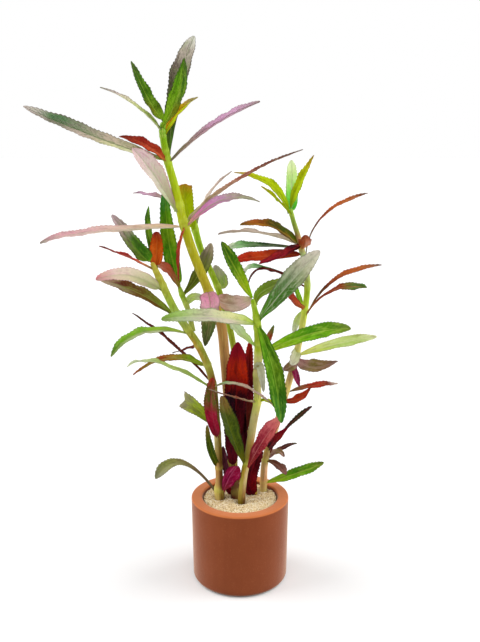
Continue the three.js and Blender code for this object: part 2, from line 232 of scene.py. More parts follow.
def terracotta():
    """Unglazed clay, streaked and specked, with painted light on its rim, painted shade towards its foot and
    a painted contact shadow along the edge it stands on.
    """
    clay = Finish("fired terracotta")
    cloud = clay.grain(CLAY_CLOUD, 2.0)
    speck = clay.grain(CLAY_SPECK, 2.0)
    pits = clay.grain(CLAY_PIT, 3.0, 0.7)
    streak = clay.grain(CLAY_LUMP, 2.0, where=clay.scaled(clay.place(), 1, 1, 0.05))
    height = clay.axis("Z", clay.place())
    # Painted light: the rim's top is painted paler, as it looks lit from above
    rim = height.step(POT_HEIGHT - 1.0 * MM, POT_HEIGHT - 0.4 * MM)
    # Painted shade: the clay is painted darker towards the foot
    foot = height.step(3 * MM, 0.2 * MM)
    # Painted contact shadow: a dark line along the edge the pot stands on
    painted_contact_shadow = height.step(1.2 * MM, 0.3 * MM)
    body = clay.mix(cloud * 0.6 + streak * 0.4, paint(114, 54, 27), paint(134, 68, 37))
    # The rim, foot and standing-edge colours below are painted light and shade
    body = clay.mix(rim * 0.85, body, paint(202, 117, 66))
    body = clay.mix(foot * 0.5, body, paint(70, 34, 18))
    body = clay.mix(painted_contact_shadow * 0.8, body, paint(34, 18, 12))
    body = clay.mix(speck.step(0.62, 0.78) * 0.35, body, paint(190, 122, 84))
    body = clay.mix(speck.step(0.36, 0.24) * 0.35, body, paint(98, 48, 30))
    relief = pits * 0.7 + clay.grain(CLAY_LUMP, 2.0) * 0.6
    return clay.show(clay.surface(
        Base_Color=body,
        Roughness=0.72 + 0.16 * clay.grain(CLAY_GLOSS),
        Normal=clay.bump(relief, CLAY_RELIEF, 0.8),
        Specular_IOR_Level=0.08,
        Sheen_Weight=0.95,
        Sheen_Roughness=0.35,
        Sheen_Tint=(1, 0.75, 0.6, 1),
    ))


pot_profile = [
    (0, 0),
    ((FOOT_RADIUS - FOOT_ROUNDING) / 2, 0),
    *rounded(FOOT_RADIUS - FOOT_ROUNDING, FOOT_ROUNDING, FOOT_ROUNDING, -90, 0),
    ((FOOT_RADIUS + RIM_RADIUS) / 2, POT_HEIGHT / 2),
    *rounded(RIM_RADIUS - RIM_ROUNDING, POT_HEIGHT - RIM_ROUNDING, RIM_ROUNDING, 0, 90),
    *rounded(BORE_RADIUS + RIM_ROUNDING, POT_HEIGHT - RIM_ROUNDING, RIM_ROUNDING, 90, 180),
    (BORE_RADIUS, POT_FLOOR),
    (0, POT_FLOOR),
]
pot = piece_from("pot_shell", turned(pot_profile, POT_STEPS), [terracotta()])
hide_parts("terracotta_pot")

# Six stems of living tissue, round and juicy, thicker at each joint where leaves grow.
# They are drawn out from their feet in the gravel along their own leaning lines. The side shoot
# forks off the left stem.
BURIED_FOOT = 28
# Points on each stem's line, in millimetres: across, back and up, and the stem's radius there.
# Five of the lines start at a foot that is buried in the gravel.
STEMS = {
    "tall_stem": [
        (-0.5, 1, BURIED_FOOT, 2.3),
        (-2.4, 1.6, 44, 2.4),
        (-4.6, 1.6, 74, 2.4),
        (-7, 0.6, 111, 2.5),
        (-9.6, -0.6, 136, 2.4),
        (-16, -1.2, 153, 2.2),
        (-22.8, -2, 171, 2.2),
        (-27.2, -2.4, 186, 2.1),
        (-30.4, -2.9, 201, 1.9),
        (-33.8, -3.4, 214, 1.7),
        (-35.6, -3.9, 226, 1.4),
        (-34.8, -4, 230, 1.1),
    ],
    "back_stem": [
        (8, 5.4, BURIED_FOOT, 1.7),
        (7, 6, 44, 1.9),
        (3.4, 9, 71.5, 1.7),
        (-0.8, 12, 103, 1.6),
        (-4.6, 15, 126, 1.6),
        (-9.5, 18, 144, 1.6),
        (-14.2, 20, 156, 1.6),
        (-19.4, 22, 167, 1.6),
        (-23, 24, 179, 1.8),
        (-25.6, 25, 190.5, 1.4),
    ],
    "left_stem": [
        (-9.6, 0.6, BURIED_FOOT, 2),
        (-10.6, 0.2, 45, 2.6),
        (-10.6, -0.8, 54, 1.9),
        (-11.4, -3, 79.5, 1.8),
        (-13.7, -6, 107.5, 1.8),
        (-19.2, -8, 124, 1.8),
        (-25.7, -9.5, 135, 1.8),
        (-31, -11, 144, 1.8),
        (-37, -13, 158, 1.7),
        (-40.8, -14.5, 167, 0.9),
    ],
    "side_shoot": [
        (-22.8, -5, 132, 1.3),
        (-25.2, -1, 141.5, 1.3),
        (-28.4, 2.5, 148.5, 1.3),
        (-29.8, 4, 152.5, 0.8),
    ],
    "front_stem": [
        (0.4, -6, BURIED_FOOT, 1.8),
        (0.8, -4.8, 44, 1.9),
        (2, -5.8, 57.5, 1.8),
        (4, -7.2, 68.5, 1.8),
        (6.8, -10, 88.5, 1.9),
        (8.5, -11.5, 99, 1.9),
        (8.1, -13.5, 111, 1.8),
        (8.7, -16, 125, 1.9),
        (7.9, -18.5, 139.5, 1.8),
        (5.7, -20.5, 151, 0.9),
    ],
    "right_stem": [
        (12.2, 9, BURIED_FOOT, 1.8),
        (12.4, 9.6, 45, 1.9),
        (13.4, 10.4, 59.5, 1.8),
        (18.3, 12, 75, 1.7),
        (24.8, 14.5, 98, 1.7),
        (29.4, 16, 116, 1.7),
        (33.1, 17.5, 137, 1.6),
        (34.2, 18.5, 154, 1.5),
        (30.4, 19.5, 171.5, 1.4),
        (26.8, 20, 183, 1.2),
        (25.1, 20, 189, 1),
    ],
}
# Colours of each stem's skin by height in millimetres, the left side and then the right side
# where that differs, partly from the skin's own flush and partly painted light and shade on its sides
STEM_COLOURS = {
    "tall_stem": [
        (43, (100, 50, 34), (124, 86, 40)), (50, (112, 74, 50)), (58, (150, 114, 52)),
        (62, (190, 176, 74), (180, 150, 70)), (67, (110, 60, 34)), (90, (140, 104, 50)),
        (118, (176, 132, 76)), (138, (164, 120, 60)), (152, (172, 156, 34)), (175, (166, 164, 20)),
        (195, (164, 180, 10)), (212, (150, 180, 8)), (226, (90, 150, 4)),
    ],
    "back_stem": [
        (43, (110, 46, 26), (170, 120, 42)), (52, (140, 116, 40), (200, 170, 66)),
        (59, (130, 116, 34), (124, 80, 36)), (66, (146, 120, 52), (170, 150, 66)),
        (80, (112, 82, 54)), (100, (150, 150, 44)), (130, (140, 160, 34)), (190, (136, 176, 12)),
    ],
    "left_stem": [
        (43, (206, 180, 112), (120, 84, 34)), (47, (204, 190, 96), (130, 104, 34)),
        (51, (176, 140, 84), (112, 64, 34)), (60, (170, 124, 70), (112, 66, 26)),
        (66, (168, 136, 72), (104, 74, 18)), (74, (164, 148, 90), (124, 102, 24)),
        (80, (200, 174, 116), (140, 104, 40)), (90, (130, 120, 44)), (98, (112, 100, 26)),
        (108, (156, 120, 44), (130, 84, 30)), (114, (150, 148, 56)), (124, (164, 122, 40), (134, 138, 40)),
        (134, (142, 146, 44)), (140, (146, 174, 92)), (146, (146, 170, 56)), (166, (160, 140, 40)),
    ],
    "side_shoot": [
        (130, (140, 156, 44)), (141, (168, 176, 100)), (148, (124, 156, 24)), (152, (120, 160, 30)),
    ],
    "front_stem": [
        (43, (120, 96, 16), (90, 60, 20)), (48, (160, 140, 60), (150, 108, 62)),
        (54, (170, 156, 70), (196, 176, 122)), (60, (166, 136, 40), (196, 172, 122)),
        (65, (124, 124, 12), (176, 156, 66)), (70, (140, 124, 46), (140, 96, 44)),
        (76, (160, 142, 66), (170, 128, 66)), (84, (170, 158, 100), (186, 172, 112)),
        (90, (192, 184, 120), (168, 154, 98)), (99, (190, 198, 84), (210, 208, 96)),
        (105, (154, 150, 80), (180, 170, 112)), (111, (150, 144, 84)), (116, (190, 176, 112)),
        (121, (180, 172, 110)), (126, (162, 176, 44)), (151, (126, 166, 6)),
    ],
    "right_stem": [
        (43, (200, 176, 112), (208, 192, 116)), (49, (206, 156, 108), (220, 158, 112)),
        (54, (200, 164, 112), (228, 184, 142)), (60, (176, 156, 80), (166, 146, 66)),
        (65, (180, 130, 80), (190, 150, 120)), (76, (210, 160, 110)), (98, (220, 200, 116)),
        (106, (160, 126, 80)), (113, (206, 184, 146)), (118, (196, 186, 110)), (134, (190, 196, 84)),
        (138, (184, 210, 56)), (148, (140, 170, 24)), (160, (176, 178, 128)), (166, (160, 186, 128)),
        (170, (166, 100, 44)), (174, (196, 140, 104)), (180, (142, 160, 66)), (189, (104, 160, 16)),
    ],
}
STEM_SIDES = 14
STEM_STEP = 1.0
JOINT_REACH = 2.2
JOINT_SWELL = 0.16
TIP_SHARE = 0.15
RIDGES = 4
RIDGE_HEIGHT = 0.035
STEM_LUMPS = 0.03
LUMP_PACE = 0.12
SKIN_STREAK = 0.7 * MM
SKIN_PATCH = 7 * MM
SKIN_RELIEF = 0.12 * MM
NUDGE = 1e-4


def stem_place(points, share):
    """The centre of a stem, in millimetres, and its radius, from its foot (0) to its tip (1)."""
    spot = share * (len(points) - 1)
    before = min(int(spot), len(points) - 2)
    t = spot - before
    start, end = (Vector(points[i][:3]) for i in (before, before + 1))
    previous = Vector(points[before - 1][:3]) if before else 2 * start - end
    following = Vector(points[before + 2][:3]) if before + 2 < len(points) else 2 * end - start
    leaving, arriving = (end - previous) / 2, (following - start) / 2
    centre = start * (2 * t**3 - 3 * t**2 + 1) + end * (3 * t**2 - 2 * t**3)
    centre += leaving * (t**3 - 2 * t**2 + t) + arriving * (t**3 - t**2)
    radius = points[before][3] * (1 - t) + points[before + 1][3] * t
    return centre, radius


def stem_heading(points, share):
    """The way that a stem grows at a share of its line."""
    ahead = stem_place(points, min(share + NUDGE, 1))[0]
    return (ahead - stem_place(points, max(share - NUDGE, 0))[0]).normalized()


def share_at_height(points, height):
    """The share of a stem's line that lies at a height in millimetres."""
    low, high = 0.0, 1.0
    while high - low > NUDGE:
        middle = (low + high) / 2
        if stem_place(points, middle)[0].z < height:
            low = middle
        else:
            high = middle
    return low


def stem_shape(points, joint_heights):
    """Draws a stem out of its foot ring by ring, swollen at its joints and with a domed tip."""
    shape = bmesh.new()
    joint = shape.verts.layers.float.new("joint")
    right = shape.verts.layers.float.new("right")
    length = sum((Vector(b[:3]) - Vector(a[:3])).length for a, b in zip(points, points[1:]))
    rings = round(length / STEM_STEP)
    ring = bmesh.ops.create_circle(shape, cap_ends=True, segments=STEM_SIDES, radius=1)["verts"]
    flat = {corner: corner.co.copy() for corner in ring}
    end = shape.faces[:][0]
    for step in range(rings + 1):
        share = step / rings
        centre, radius = stem_place(points, share)
        if step:
            made = bmesh.ops.extrude_discrete_faces(shape, faces=[end])
            end = made["faces"][0]
            flat = dict(zip(end.verts, flat.values(), strict=True))
        near = min(abs(centre.z - height) for height in joint_heights)
        swell = max(0.0, 1 - near / JOINT_REACH) ** 2
        dome = math.sqrt(max(0.0, 1 - max(0.0, share * length - length + radius) ** 2 / radius**2))
        size = radius * (1 + JOINT_SWELL * swell) * max(dome, TIP_SHARE)
        turn = Vector((0, 0, 1)).rotation_difference(stem_heading(points, share))
        for corner, around in flat.items():
            angle = math.atan2(around.y, around.x)
            lumps = STEM_LUMPS * noise.noise(centre * LUMP_PACE + around)
            ridge = 1 + RIDGE_HEIGHT * math.cos(RIDGES * angle) + lumps
            out = turn @ (around * size * ridge)
            corner.co = (centre + out) * MM
            corner[joint] = swell
            corner[right] = (1 + out.x / size) / 2
    bmesh.ops.recalc_face_normals(shape, faces=shape.faces)
    return shape


def stem_finish(name, colours):
    """The skin of a stem, coloured by height on its left and right, partly its own flush and partly painted
    light and shade, and streaked upwards.
    """
    skin = Finish(f"{name} skin")
    place = skin.place()
    streak = skin.grain(SKIN_STREAK, 3.0, where=skin.scaled(place, 1, 1, 0.08))
    patch = skin.grain(SKIN_PATCH, 2.0)
    low, high = colours[0][0], colours[-1][0]
    share = (skin.axis("Z", place) / MM - low) / (high - low) + (patch - 0.5) * 0.05
    sides = []
    for side in (1, -1):
        stops = [((row[0] - low) / (high - low), paint(*row[side])) for row in colours]
        sides.append(skin.ramp(share, stops))
    # The two sides' colours are partly the skin's own flush and partly painted light and shade
    right = (skin.mark("right") + (streak - 0.5) * 0.3).step(0.36, 0.74)
    body = skin.mix(right, *sides)
    body = skin.mix(streak.step(0.54, 0.74) * 0.4, body, paint(210, 206, 110))
    body = skin.mix(streak.step(0.46, 0.28) * 0.45, body, paint(96, 96, 24))
    body = skin.mix(skin.mark("joint") * 0.3, body, paint(206, 216, 100))
    return skin.show(skin.surface(
        Base_Color=body,
        Roughness=0.34 + 0.16 * patch,
        Normal=skin.bump(streak, SKIN_RELIEF, 0.6),
        Specular_IOR_Level=0.1,
        Subsurface_Weight=0.2,
        Subsurface_Radius=(1.0, 0.8, 0.3),
        Subsurface_Scale=1.2 * MM,
    ))


# Leaves are thin blades with a pale midrib, side veins and a saw-toothed edge, green or flushed
# pink and crimson by the light they had. Each grows from a joint of its stem.
YOUNG = "young"
BROKEN = "broken"
# Outlines. With a larger first number a blade is widest nearer its tip, and with a smaller second
# number it is fuller all along.
LANCE, PADDLE, SPOON, LADLE = (1.05, 0.85), (1.45, 0.6), (2.2, 0.6), (3.2, 0.7)
STRAP, BLUNT, DAGGER = (1, 0.45), (1, 0.3), (0.75, 0.6)
# Each leaf, in millimetres: the height of its joint, its middle and tip, its width, its outline,
# the way its upper side faces, its finish, and whether it is young or broken
LEAVES = {
    "tall_stem": [
        (230, (-43.4, 4, 243), (-50.9, 10, 258.2), 6.4, DAGGER, (0.45, -0.9, 0.3), "crown green"),
        (226, (-46.6, -16, 237.5), (-59.1, -28, 243.4), 3, STRAP, (0.2, 0.3, 1), "pale edged", YOUNG),
        (217, (-29.6, 9, 246.9), (-21.3, 13, 269.7), 10.4, PADDLE, (-0.3, -1, 0), "grey tipped green"),
        (229, (-27.5, -12, 242.2), (-24, -20, 256), 7.6, LANCE, (-0.4, 0.9, 0.2), "crown green"),
        (224, (-29, 0, 234.5), (-19.4, 2, 241.5), 5, DAGGER, (0, -0.5, 1), "lime with orange", YOUNG),
        (213, (-12, -14, 228.8), (8.5, -26, 237.7), 6.8, PADDLE, (-0.3, -0.5, 1), "mauve"),
        (214, (-63.3, -14, 223.4), (-93.1, -24, 235.9), 7.4, PADDLE, (0.1, 0.9, 0.5), "silver green"),
        (212, (-41.7, -13, 219.8), (-53.2, -19, 223.3), 5, LANCE, (0.2, -0.8, 0.5), "dark red", YOUNG),
        (192, (-39.8, -7, 208), (-47.5, -17, 218.4), 10, PADDLE, (0.4, 0.9, 0.1), "pale pink"),
        (193, (-43.2, 14, 196.4), (-53.6, 22, 196.7), 1.8, STRAP, (0, -0.4, 1), "mauve", YOUNG),
        (183, (-69.7, -14, 181.1), (-89.9, -22, 176.6), 4.8, STRAP, (0, 0.8, 0.7), "cream pink"),
        (185, (0, 9, 204.5), (31.2, 22, 218), 3.4, DAGGER, (-0.3, -0.7, 0.7), "cream to maroon"),
        (183, (-7.7, -14, 195.9), (8.7, -30, 195.5), 5, LANCE, (0, 0.8, 0.6), "pink and sage"),
        (182, (-27.8, -18, 174.1), (-27.5, -25, 160), 2.8, STRAP, (-0.9, -0.3, 0.3), "dark red", YOUNG),
        (151, (-13.9, -19, 144.5), (-16.1, -24, 129.5), 9.6, DAGGER, (0, -0.8, 0.6), "pink with green tip"),
        (146, (-3, 11, 142.3), (5.7, 26, 142.5), 10, STRAP, (0, -0.9, 0.5), "pink with brown heart"),
        (68, (-1.9, -5, 100.2), (-1, -8, 127.4), 12.6, PADDLE, (0, -1, 0.1), "crimson with black heart"),
        (62, (-4.4, -11, 83.6), (-5.3, -16, 104.8), 7.6, STRAP, (0.1, -1, 0), "near black"),
        (46, (-6.4, 1, 56.2), (-8.7, 3, 69.6), 4.6, STRAP, (0, -1, 0), "dusky crimson", YOUNG),
        (45, (-5.8, 0, 46.8), (-6.9, -0.2, 55), 3.2, STRAP, (0, -1, 0), "deep crimson", YOUNG),
    ],
    "back_stem": [
        (180, (-26.8, 21, 190.4), (-27.7, 18, 201.6), 8.6, STRAP, (0.2, -1, 0.2), "lime", BROKEN),
        (178, (-17, 32, 194.2), (-4.2, 43.8, 207.1), 3.2, STRAP, (-0.3, -0.4, 1), "dusty cream", YOUNG),
        (150, (-10, 30, 149.2), (-13.5, 43.6, 157.2), 9.4, PADDLE, (0, -0.8, 0.6), "sage with mauve edge"),
        (78, (4, 3, 103.3), (5, 7, 124.1), 6.5, STRAP, (0, -1, 0.1), "crimson with brick tip"),
        (57, (1.5, 0.5, 79.8), (2.5, 0.5, 97.8), 4.6, LANCE, (-0.1, -1, 0), "near black", YOUNG),
        (43, (5.4, 0, 54.4), (10.8, -2, 69.5), 7.8, BLUNT, (0, -1, 0), "deep crimson"),
    ],
    "left_stem": [
        (167, (-48.3, -8, 172.6), (-60.9, 1, 187.7), 8.4, STRAP, (0.5, -0.8, 0.4), "green with mauve tip"),
        (
            163, (-51.3, -20, 170.7), (-61.9, -30, 176.4), 3.2, LANCE, (0.2, -0.5, 0.9),
            "red with grey tip", YOUNG,
        ),
        (156, (-50.8, -22, 162.3), (-62.7, -36, 162.3), 7.4, STRAP, (0, -0.9, 0.45), "cream with pink edge"),
        (142, (-49.2, -6, 151.7), (-68.5, 4, 155.6), 7.4, PADDLE, (0.3, -0.7, 0.8), "brown with green foot"),
        (165, (-39.2, -6.6, 172.2), (-39.6, -4, 180.1), 7, BLUNT, (0, -0.9, 0.5), "rust"),
        (160, (-43.7, 2, 179.3), (-44.8, 14, 190.8), 3.6, LANCE, (0, -0.9, 0.4), "deep green", YOUNG),
        (
            79, (-13.9, -17, 98.1), (-12.4, -27, 115.1), 7.4, STRAP, (-0.2, -0.9, 0.3),
            "crimson with green tip",
        ),
        (84, (-21.6, 0, 90.6), (-29.7, 8, 93.2), 9.4, PADDLE, (0.1, -1, 0.2), "olive", BROKEN),
        (60, (-14.4, -8, 71.9), (-16.1, -12, 86.6), 3.8, STRAP, (0, -0.9, 0.3), "dark olive", YOUNG),
        (134, (-47.1, -18, 134.3), (-58.5, -30, 126), 5.8, PADDLE, (-0.2, -0.5, 0.9), "silvery fresh green"),
        (106, (-35.1, 6, 124.4), (-55.1, 16, 136.6), 2, STRAP, (0.3, -0.5, 0.9), "dark maroon", YOUNG),
        (103, (-38.6, -14, 118.8), (-52, -26, 120.1), 2.6, STRAP, (0, -0.4, 1), "pale sage", YOUNG),
        (116, (-36.2, 0, 117.2), (-54.5, 8, 106), 5, STRAP, (-0.2, -0.4, 1), "green with red tip"),
        (104, (0, -26, 111.7), (14.9, -36, 105.1), 1.8, STRAP, (0, -0.6, 0.9), "mint to rose", YOUNG),
        (48, (-4.6, -5.8, 56.9), (-0.8, -8, 63.4), 9.2, PADDLE, (0.3, -1, 0.2), "bright crimson"),
        (47, (-30.6, 5, 59.7), (-43.4, 0, 52.8), 7.2, LADLE, (-0.2, -0.8, 0.7), "olive with brown stalk"),
        (126, (-24.8, -6, 124.1), (-33.4, -2, 120.3), 1.4, STRAP, (0, -0.5, 0.9), "dark maroon", YOUNG),
    ],
    "side_shoot": [
        (156, (-34.3, 3, 173.9), (-35.6, 0, 199.2), 8.2, STRAP, (0, -1, 0), "bright green with teal tip"),
        (151, (-34.5, -2, 161.3), (-40.2, -7, 164.2), 6.4, PADDLE, (0.4, -0.7, 0.7), "brick brown", YOUNG),
        (149, (-18.7, 7.4, 161), (-14.2, 8, 173.3), 7.8, PADDLE, (0, -0.9, 0.4), "olive with mauve tip"),
        (144, (-22.7, 6, 146.8), (-17, 9, 144.2), 4.2, STRAP, (0, -0.9, 0.5), "pale sage", YOUNG),
    ],
    "front_stem": [
        (152, (-1.3, -28, 165), (-8, -34, 178.8), 7, PADDLE, (0.3, -0.9, 0.3), "green with lime foot"),
        (148, (11.2, -14, 153.9), (23.7, -8, 157.6), 6.2, PADDLE, (-0.1, -0.8, 0.6), "sage"),
        (142, (21.9, -28, 159.6), (34.5, -36, 175), 10.6, PADDLE, (-0.3, -1, 0.3), "silver with green foot"),
        (140, (-14.4, -37.6, 146.7), (-33.7, -45.2, 146.7), 7.6, STRAP, (0, -0.8, 0.6), "silver striped"),
        (137, (15.3, -30, 119.3), (18.6, -40, 98), 9.4, PADDLE, (0.2, -1, 0.3), "deep green"),
        (129, (0, -22, 135.7), (-4.6, -23, 141.1), 6.5, PADDLE, (0.3, 0.9, 0.3), "pale sage"),
        (98, (-0.9, -20, 103.1), (-14.7, -30, 110.8), 1.8, STRAP, (0, -0.6, 0.8), "cream to maroon", YOUNG),
        (98, (13.4, -16, 100.5), (16.4, -24, 99), 2.4, LANCE, (0, -0.6, 0.8), "lime", YOUNG),
        (66, (-3.8, -19, 86.2), (-8.3, -30, 107.4), 9, PADDLE, (0.3, 0.9, 0.2), "dark olive"),
        (65, (12, -18, 82.7), (18.7, -30, 96.3), 8.4, PADDLE, (-0.3, -0.9, 0.4), "rose"),
        (113, (9.2, -18, 117.8), (11.1, -21, 106.4), 4.4, STRAP, (0.2, -1, 0.1), "silver sage", YOUNG),
        (124, (32.9, -16, 133.5), (49.9, -30, 139), 8.6, PADDLE, (0, -0.9, 0.5), "fresh green"),
        (121, (13.4, -10, 129.4), (16.3, -7, 135.6), 3.6, DAGGER, (0, -1, 0.3), "red with green tip", YOUNG),
    ],
    "right_stem": [
        (190, (29, 16, 201.9), (35.7, 12, 215.3), 5.2, LANCE, (-0.4, -0.9, 0.3), "lime"),
        (188, (26.5, 30, 200.9), (26.9, 42, 212.7), 7, STRAP, (0, -0.9, 0.6), "pale with vivid foot"),
        (188, (15.1, 25, 201.1), (-3.1, 36, 206.5), 5.6, LANCE, (0.3, -0.7, 0.8), "lime"),
        (186, (17.3, 6, 195.2), (9.8, -4, 201.3), 3, PADDLE, (0.3, 0.5, 0.8), "lime", YOUNG),
        (173, (14.8, 12, 181.7), (0, 2, 182.6), 7, DAGGER, (0.2, -0.7, 0.8), "brown with dark foot"),
        (171, (8.2, 28, 176.9), (-11.7, 40, 174.1), 4.2, STRAP, (0.1, 0.6, 0.9), "dusty cream", YOUNG),
        (170, (5.2, 33, 169.6), (-7.5, 43.7, 166.4), 5, SPOON, (0, -0.9, 0.5), "silver with dark stalk"),
        (167, (8.3, 6, 166.9), (-2.9, -4, 166.1), 6.2, STRAP, (0, -0.8, 0.6), "brick red"),
        (171, (21.4, 4, 169.1), (8.9, -8, 165.3), 4, STRAP, (0, -0.8, 0.6), "crimson", YOUNG),
        (169, (32, 10, 173.1), (31.2, 2, 177.8), 7, LANCE, (0, 0.8, 0.6), "ruddy brown", YOUNG),
        (
            151, (11.4, 28, 158.5), (2.1, 38, 153.8), 4.4, LADLE, (0, -0.8, 0.6),
            "silver with dark stalk", YOUNG,
        ),
        (149, (12.5, 14, 159.6), (4, 8, 152), 1.8, STRAP, (0.3, -0.5, 0.9), "dark maroon", YOUNG),
        (167, (43.3, 26, 186), (66.8, 38, 195.9), 3.2, LADLE, (-0.3, -0.8, 0.6), "orange brown"),
        (138, (50, 20, 154.3), (73, 24, 160.1), 3.4, SPOON, (-0.2, -0.7, 0.8), "orange brown"),
        (137, (45.4, 2, 151), (59.5, -12, 154.7), 5.4, LADLE, (-0.2, -0.7, 0.8), "red with green tip"),
        (137, (29.8, 28, 145.8), (28.9, 38, 152.7), 2.8, STRAP, (0, -0.8, 0.6), "fresh green", YOUNG),
        (138, (26.4, 8, 145.4), (23.7, 0, 153.9), 4.2, STRAP, (0.3, 0.8, 0.5), "dark red", YOUNG),
        (137, (30.1, 28, 129.7), (29.1, 34, 121.2), 4, STRAP, (0, -0.9, 0.3), "pale sage", YOUNG),
        (115, (52.4, 26, 118.2), (74.5, 38, 118.8), 6.8, PADDLE, (0, -0.8, 0.6), "mottled sage"),
        (113, (36.3, 6, 111.1), (48.3, -2, 116.2), 8, LANCE, (0, -0.8, 0.7), "mauve brown"),
        (117, (27.4, 6, 115.5), (24.8, 0, 114.1), 6.4, STRAP, (0.2, -1, 0.3), "silver sage", YOUNG),
        (109, (28.8, 8, 105), (30.2, 6, 100.5), 3.6, DAGGER, (0, -1, 0.2), "bright crimson", YOUNG),
        (111, (25.9, 8, 110.8), (21.5, 2, 110.4), 5.6, STRAP, (0, -0.9, 0.4), "mauve brown", YOUNG),
        (96, (37.6, 16, 97.9), (52.5, 26, 95.9), 4, PADDLE, (-0.1, -0.7, 0.8), "red with olive stalk"),
        (90, (29.9, 4, 95.1), (35.1, -4, 103.5), 4.2, LANCE, (-0.3, -0.8, 0.5), "brick red", YOUNG),
        (65, (23.7, 6, 78.2), (36.6, 4, 90.8), 3.8, LADLE, (-0.4, -0.8, 0.5), "crimson with black tip"),
        (64, (17.9, 2, 73.3), (24, -4, 82), 5, LANCE, (-0.3, -0.8, 0.5), "crimson", YOUNG),
        (
            59, (22.5, 18, 62.4), (31.1, 26, 61.7), 2.4, STRAP, (-0.2, -0.6, 0.9),
            "maroon with olive foot", YOUNG,
        ),
        (59, (20.2, 4, 58.2), (23.6, 0, 55), 4.6, PADDLE, (0.2, -0.6, 0.8), "dark mauve brown", YOUNG),
        (59, (19.5, 10, 63.8), (23, 9, 61), 3.6, STRAP, (0, -0.8, 0.6), "mauve brown", YOUNG),
        (47, (29.3, 7, 52.9), (43.4, 4, 60.1), 6.8, PADDLE, (-0.2, -0.8, 0.7), "fresh green"),
    ],
}
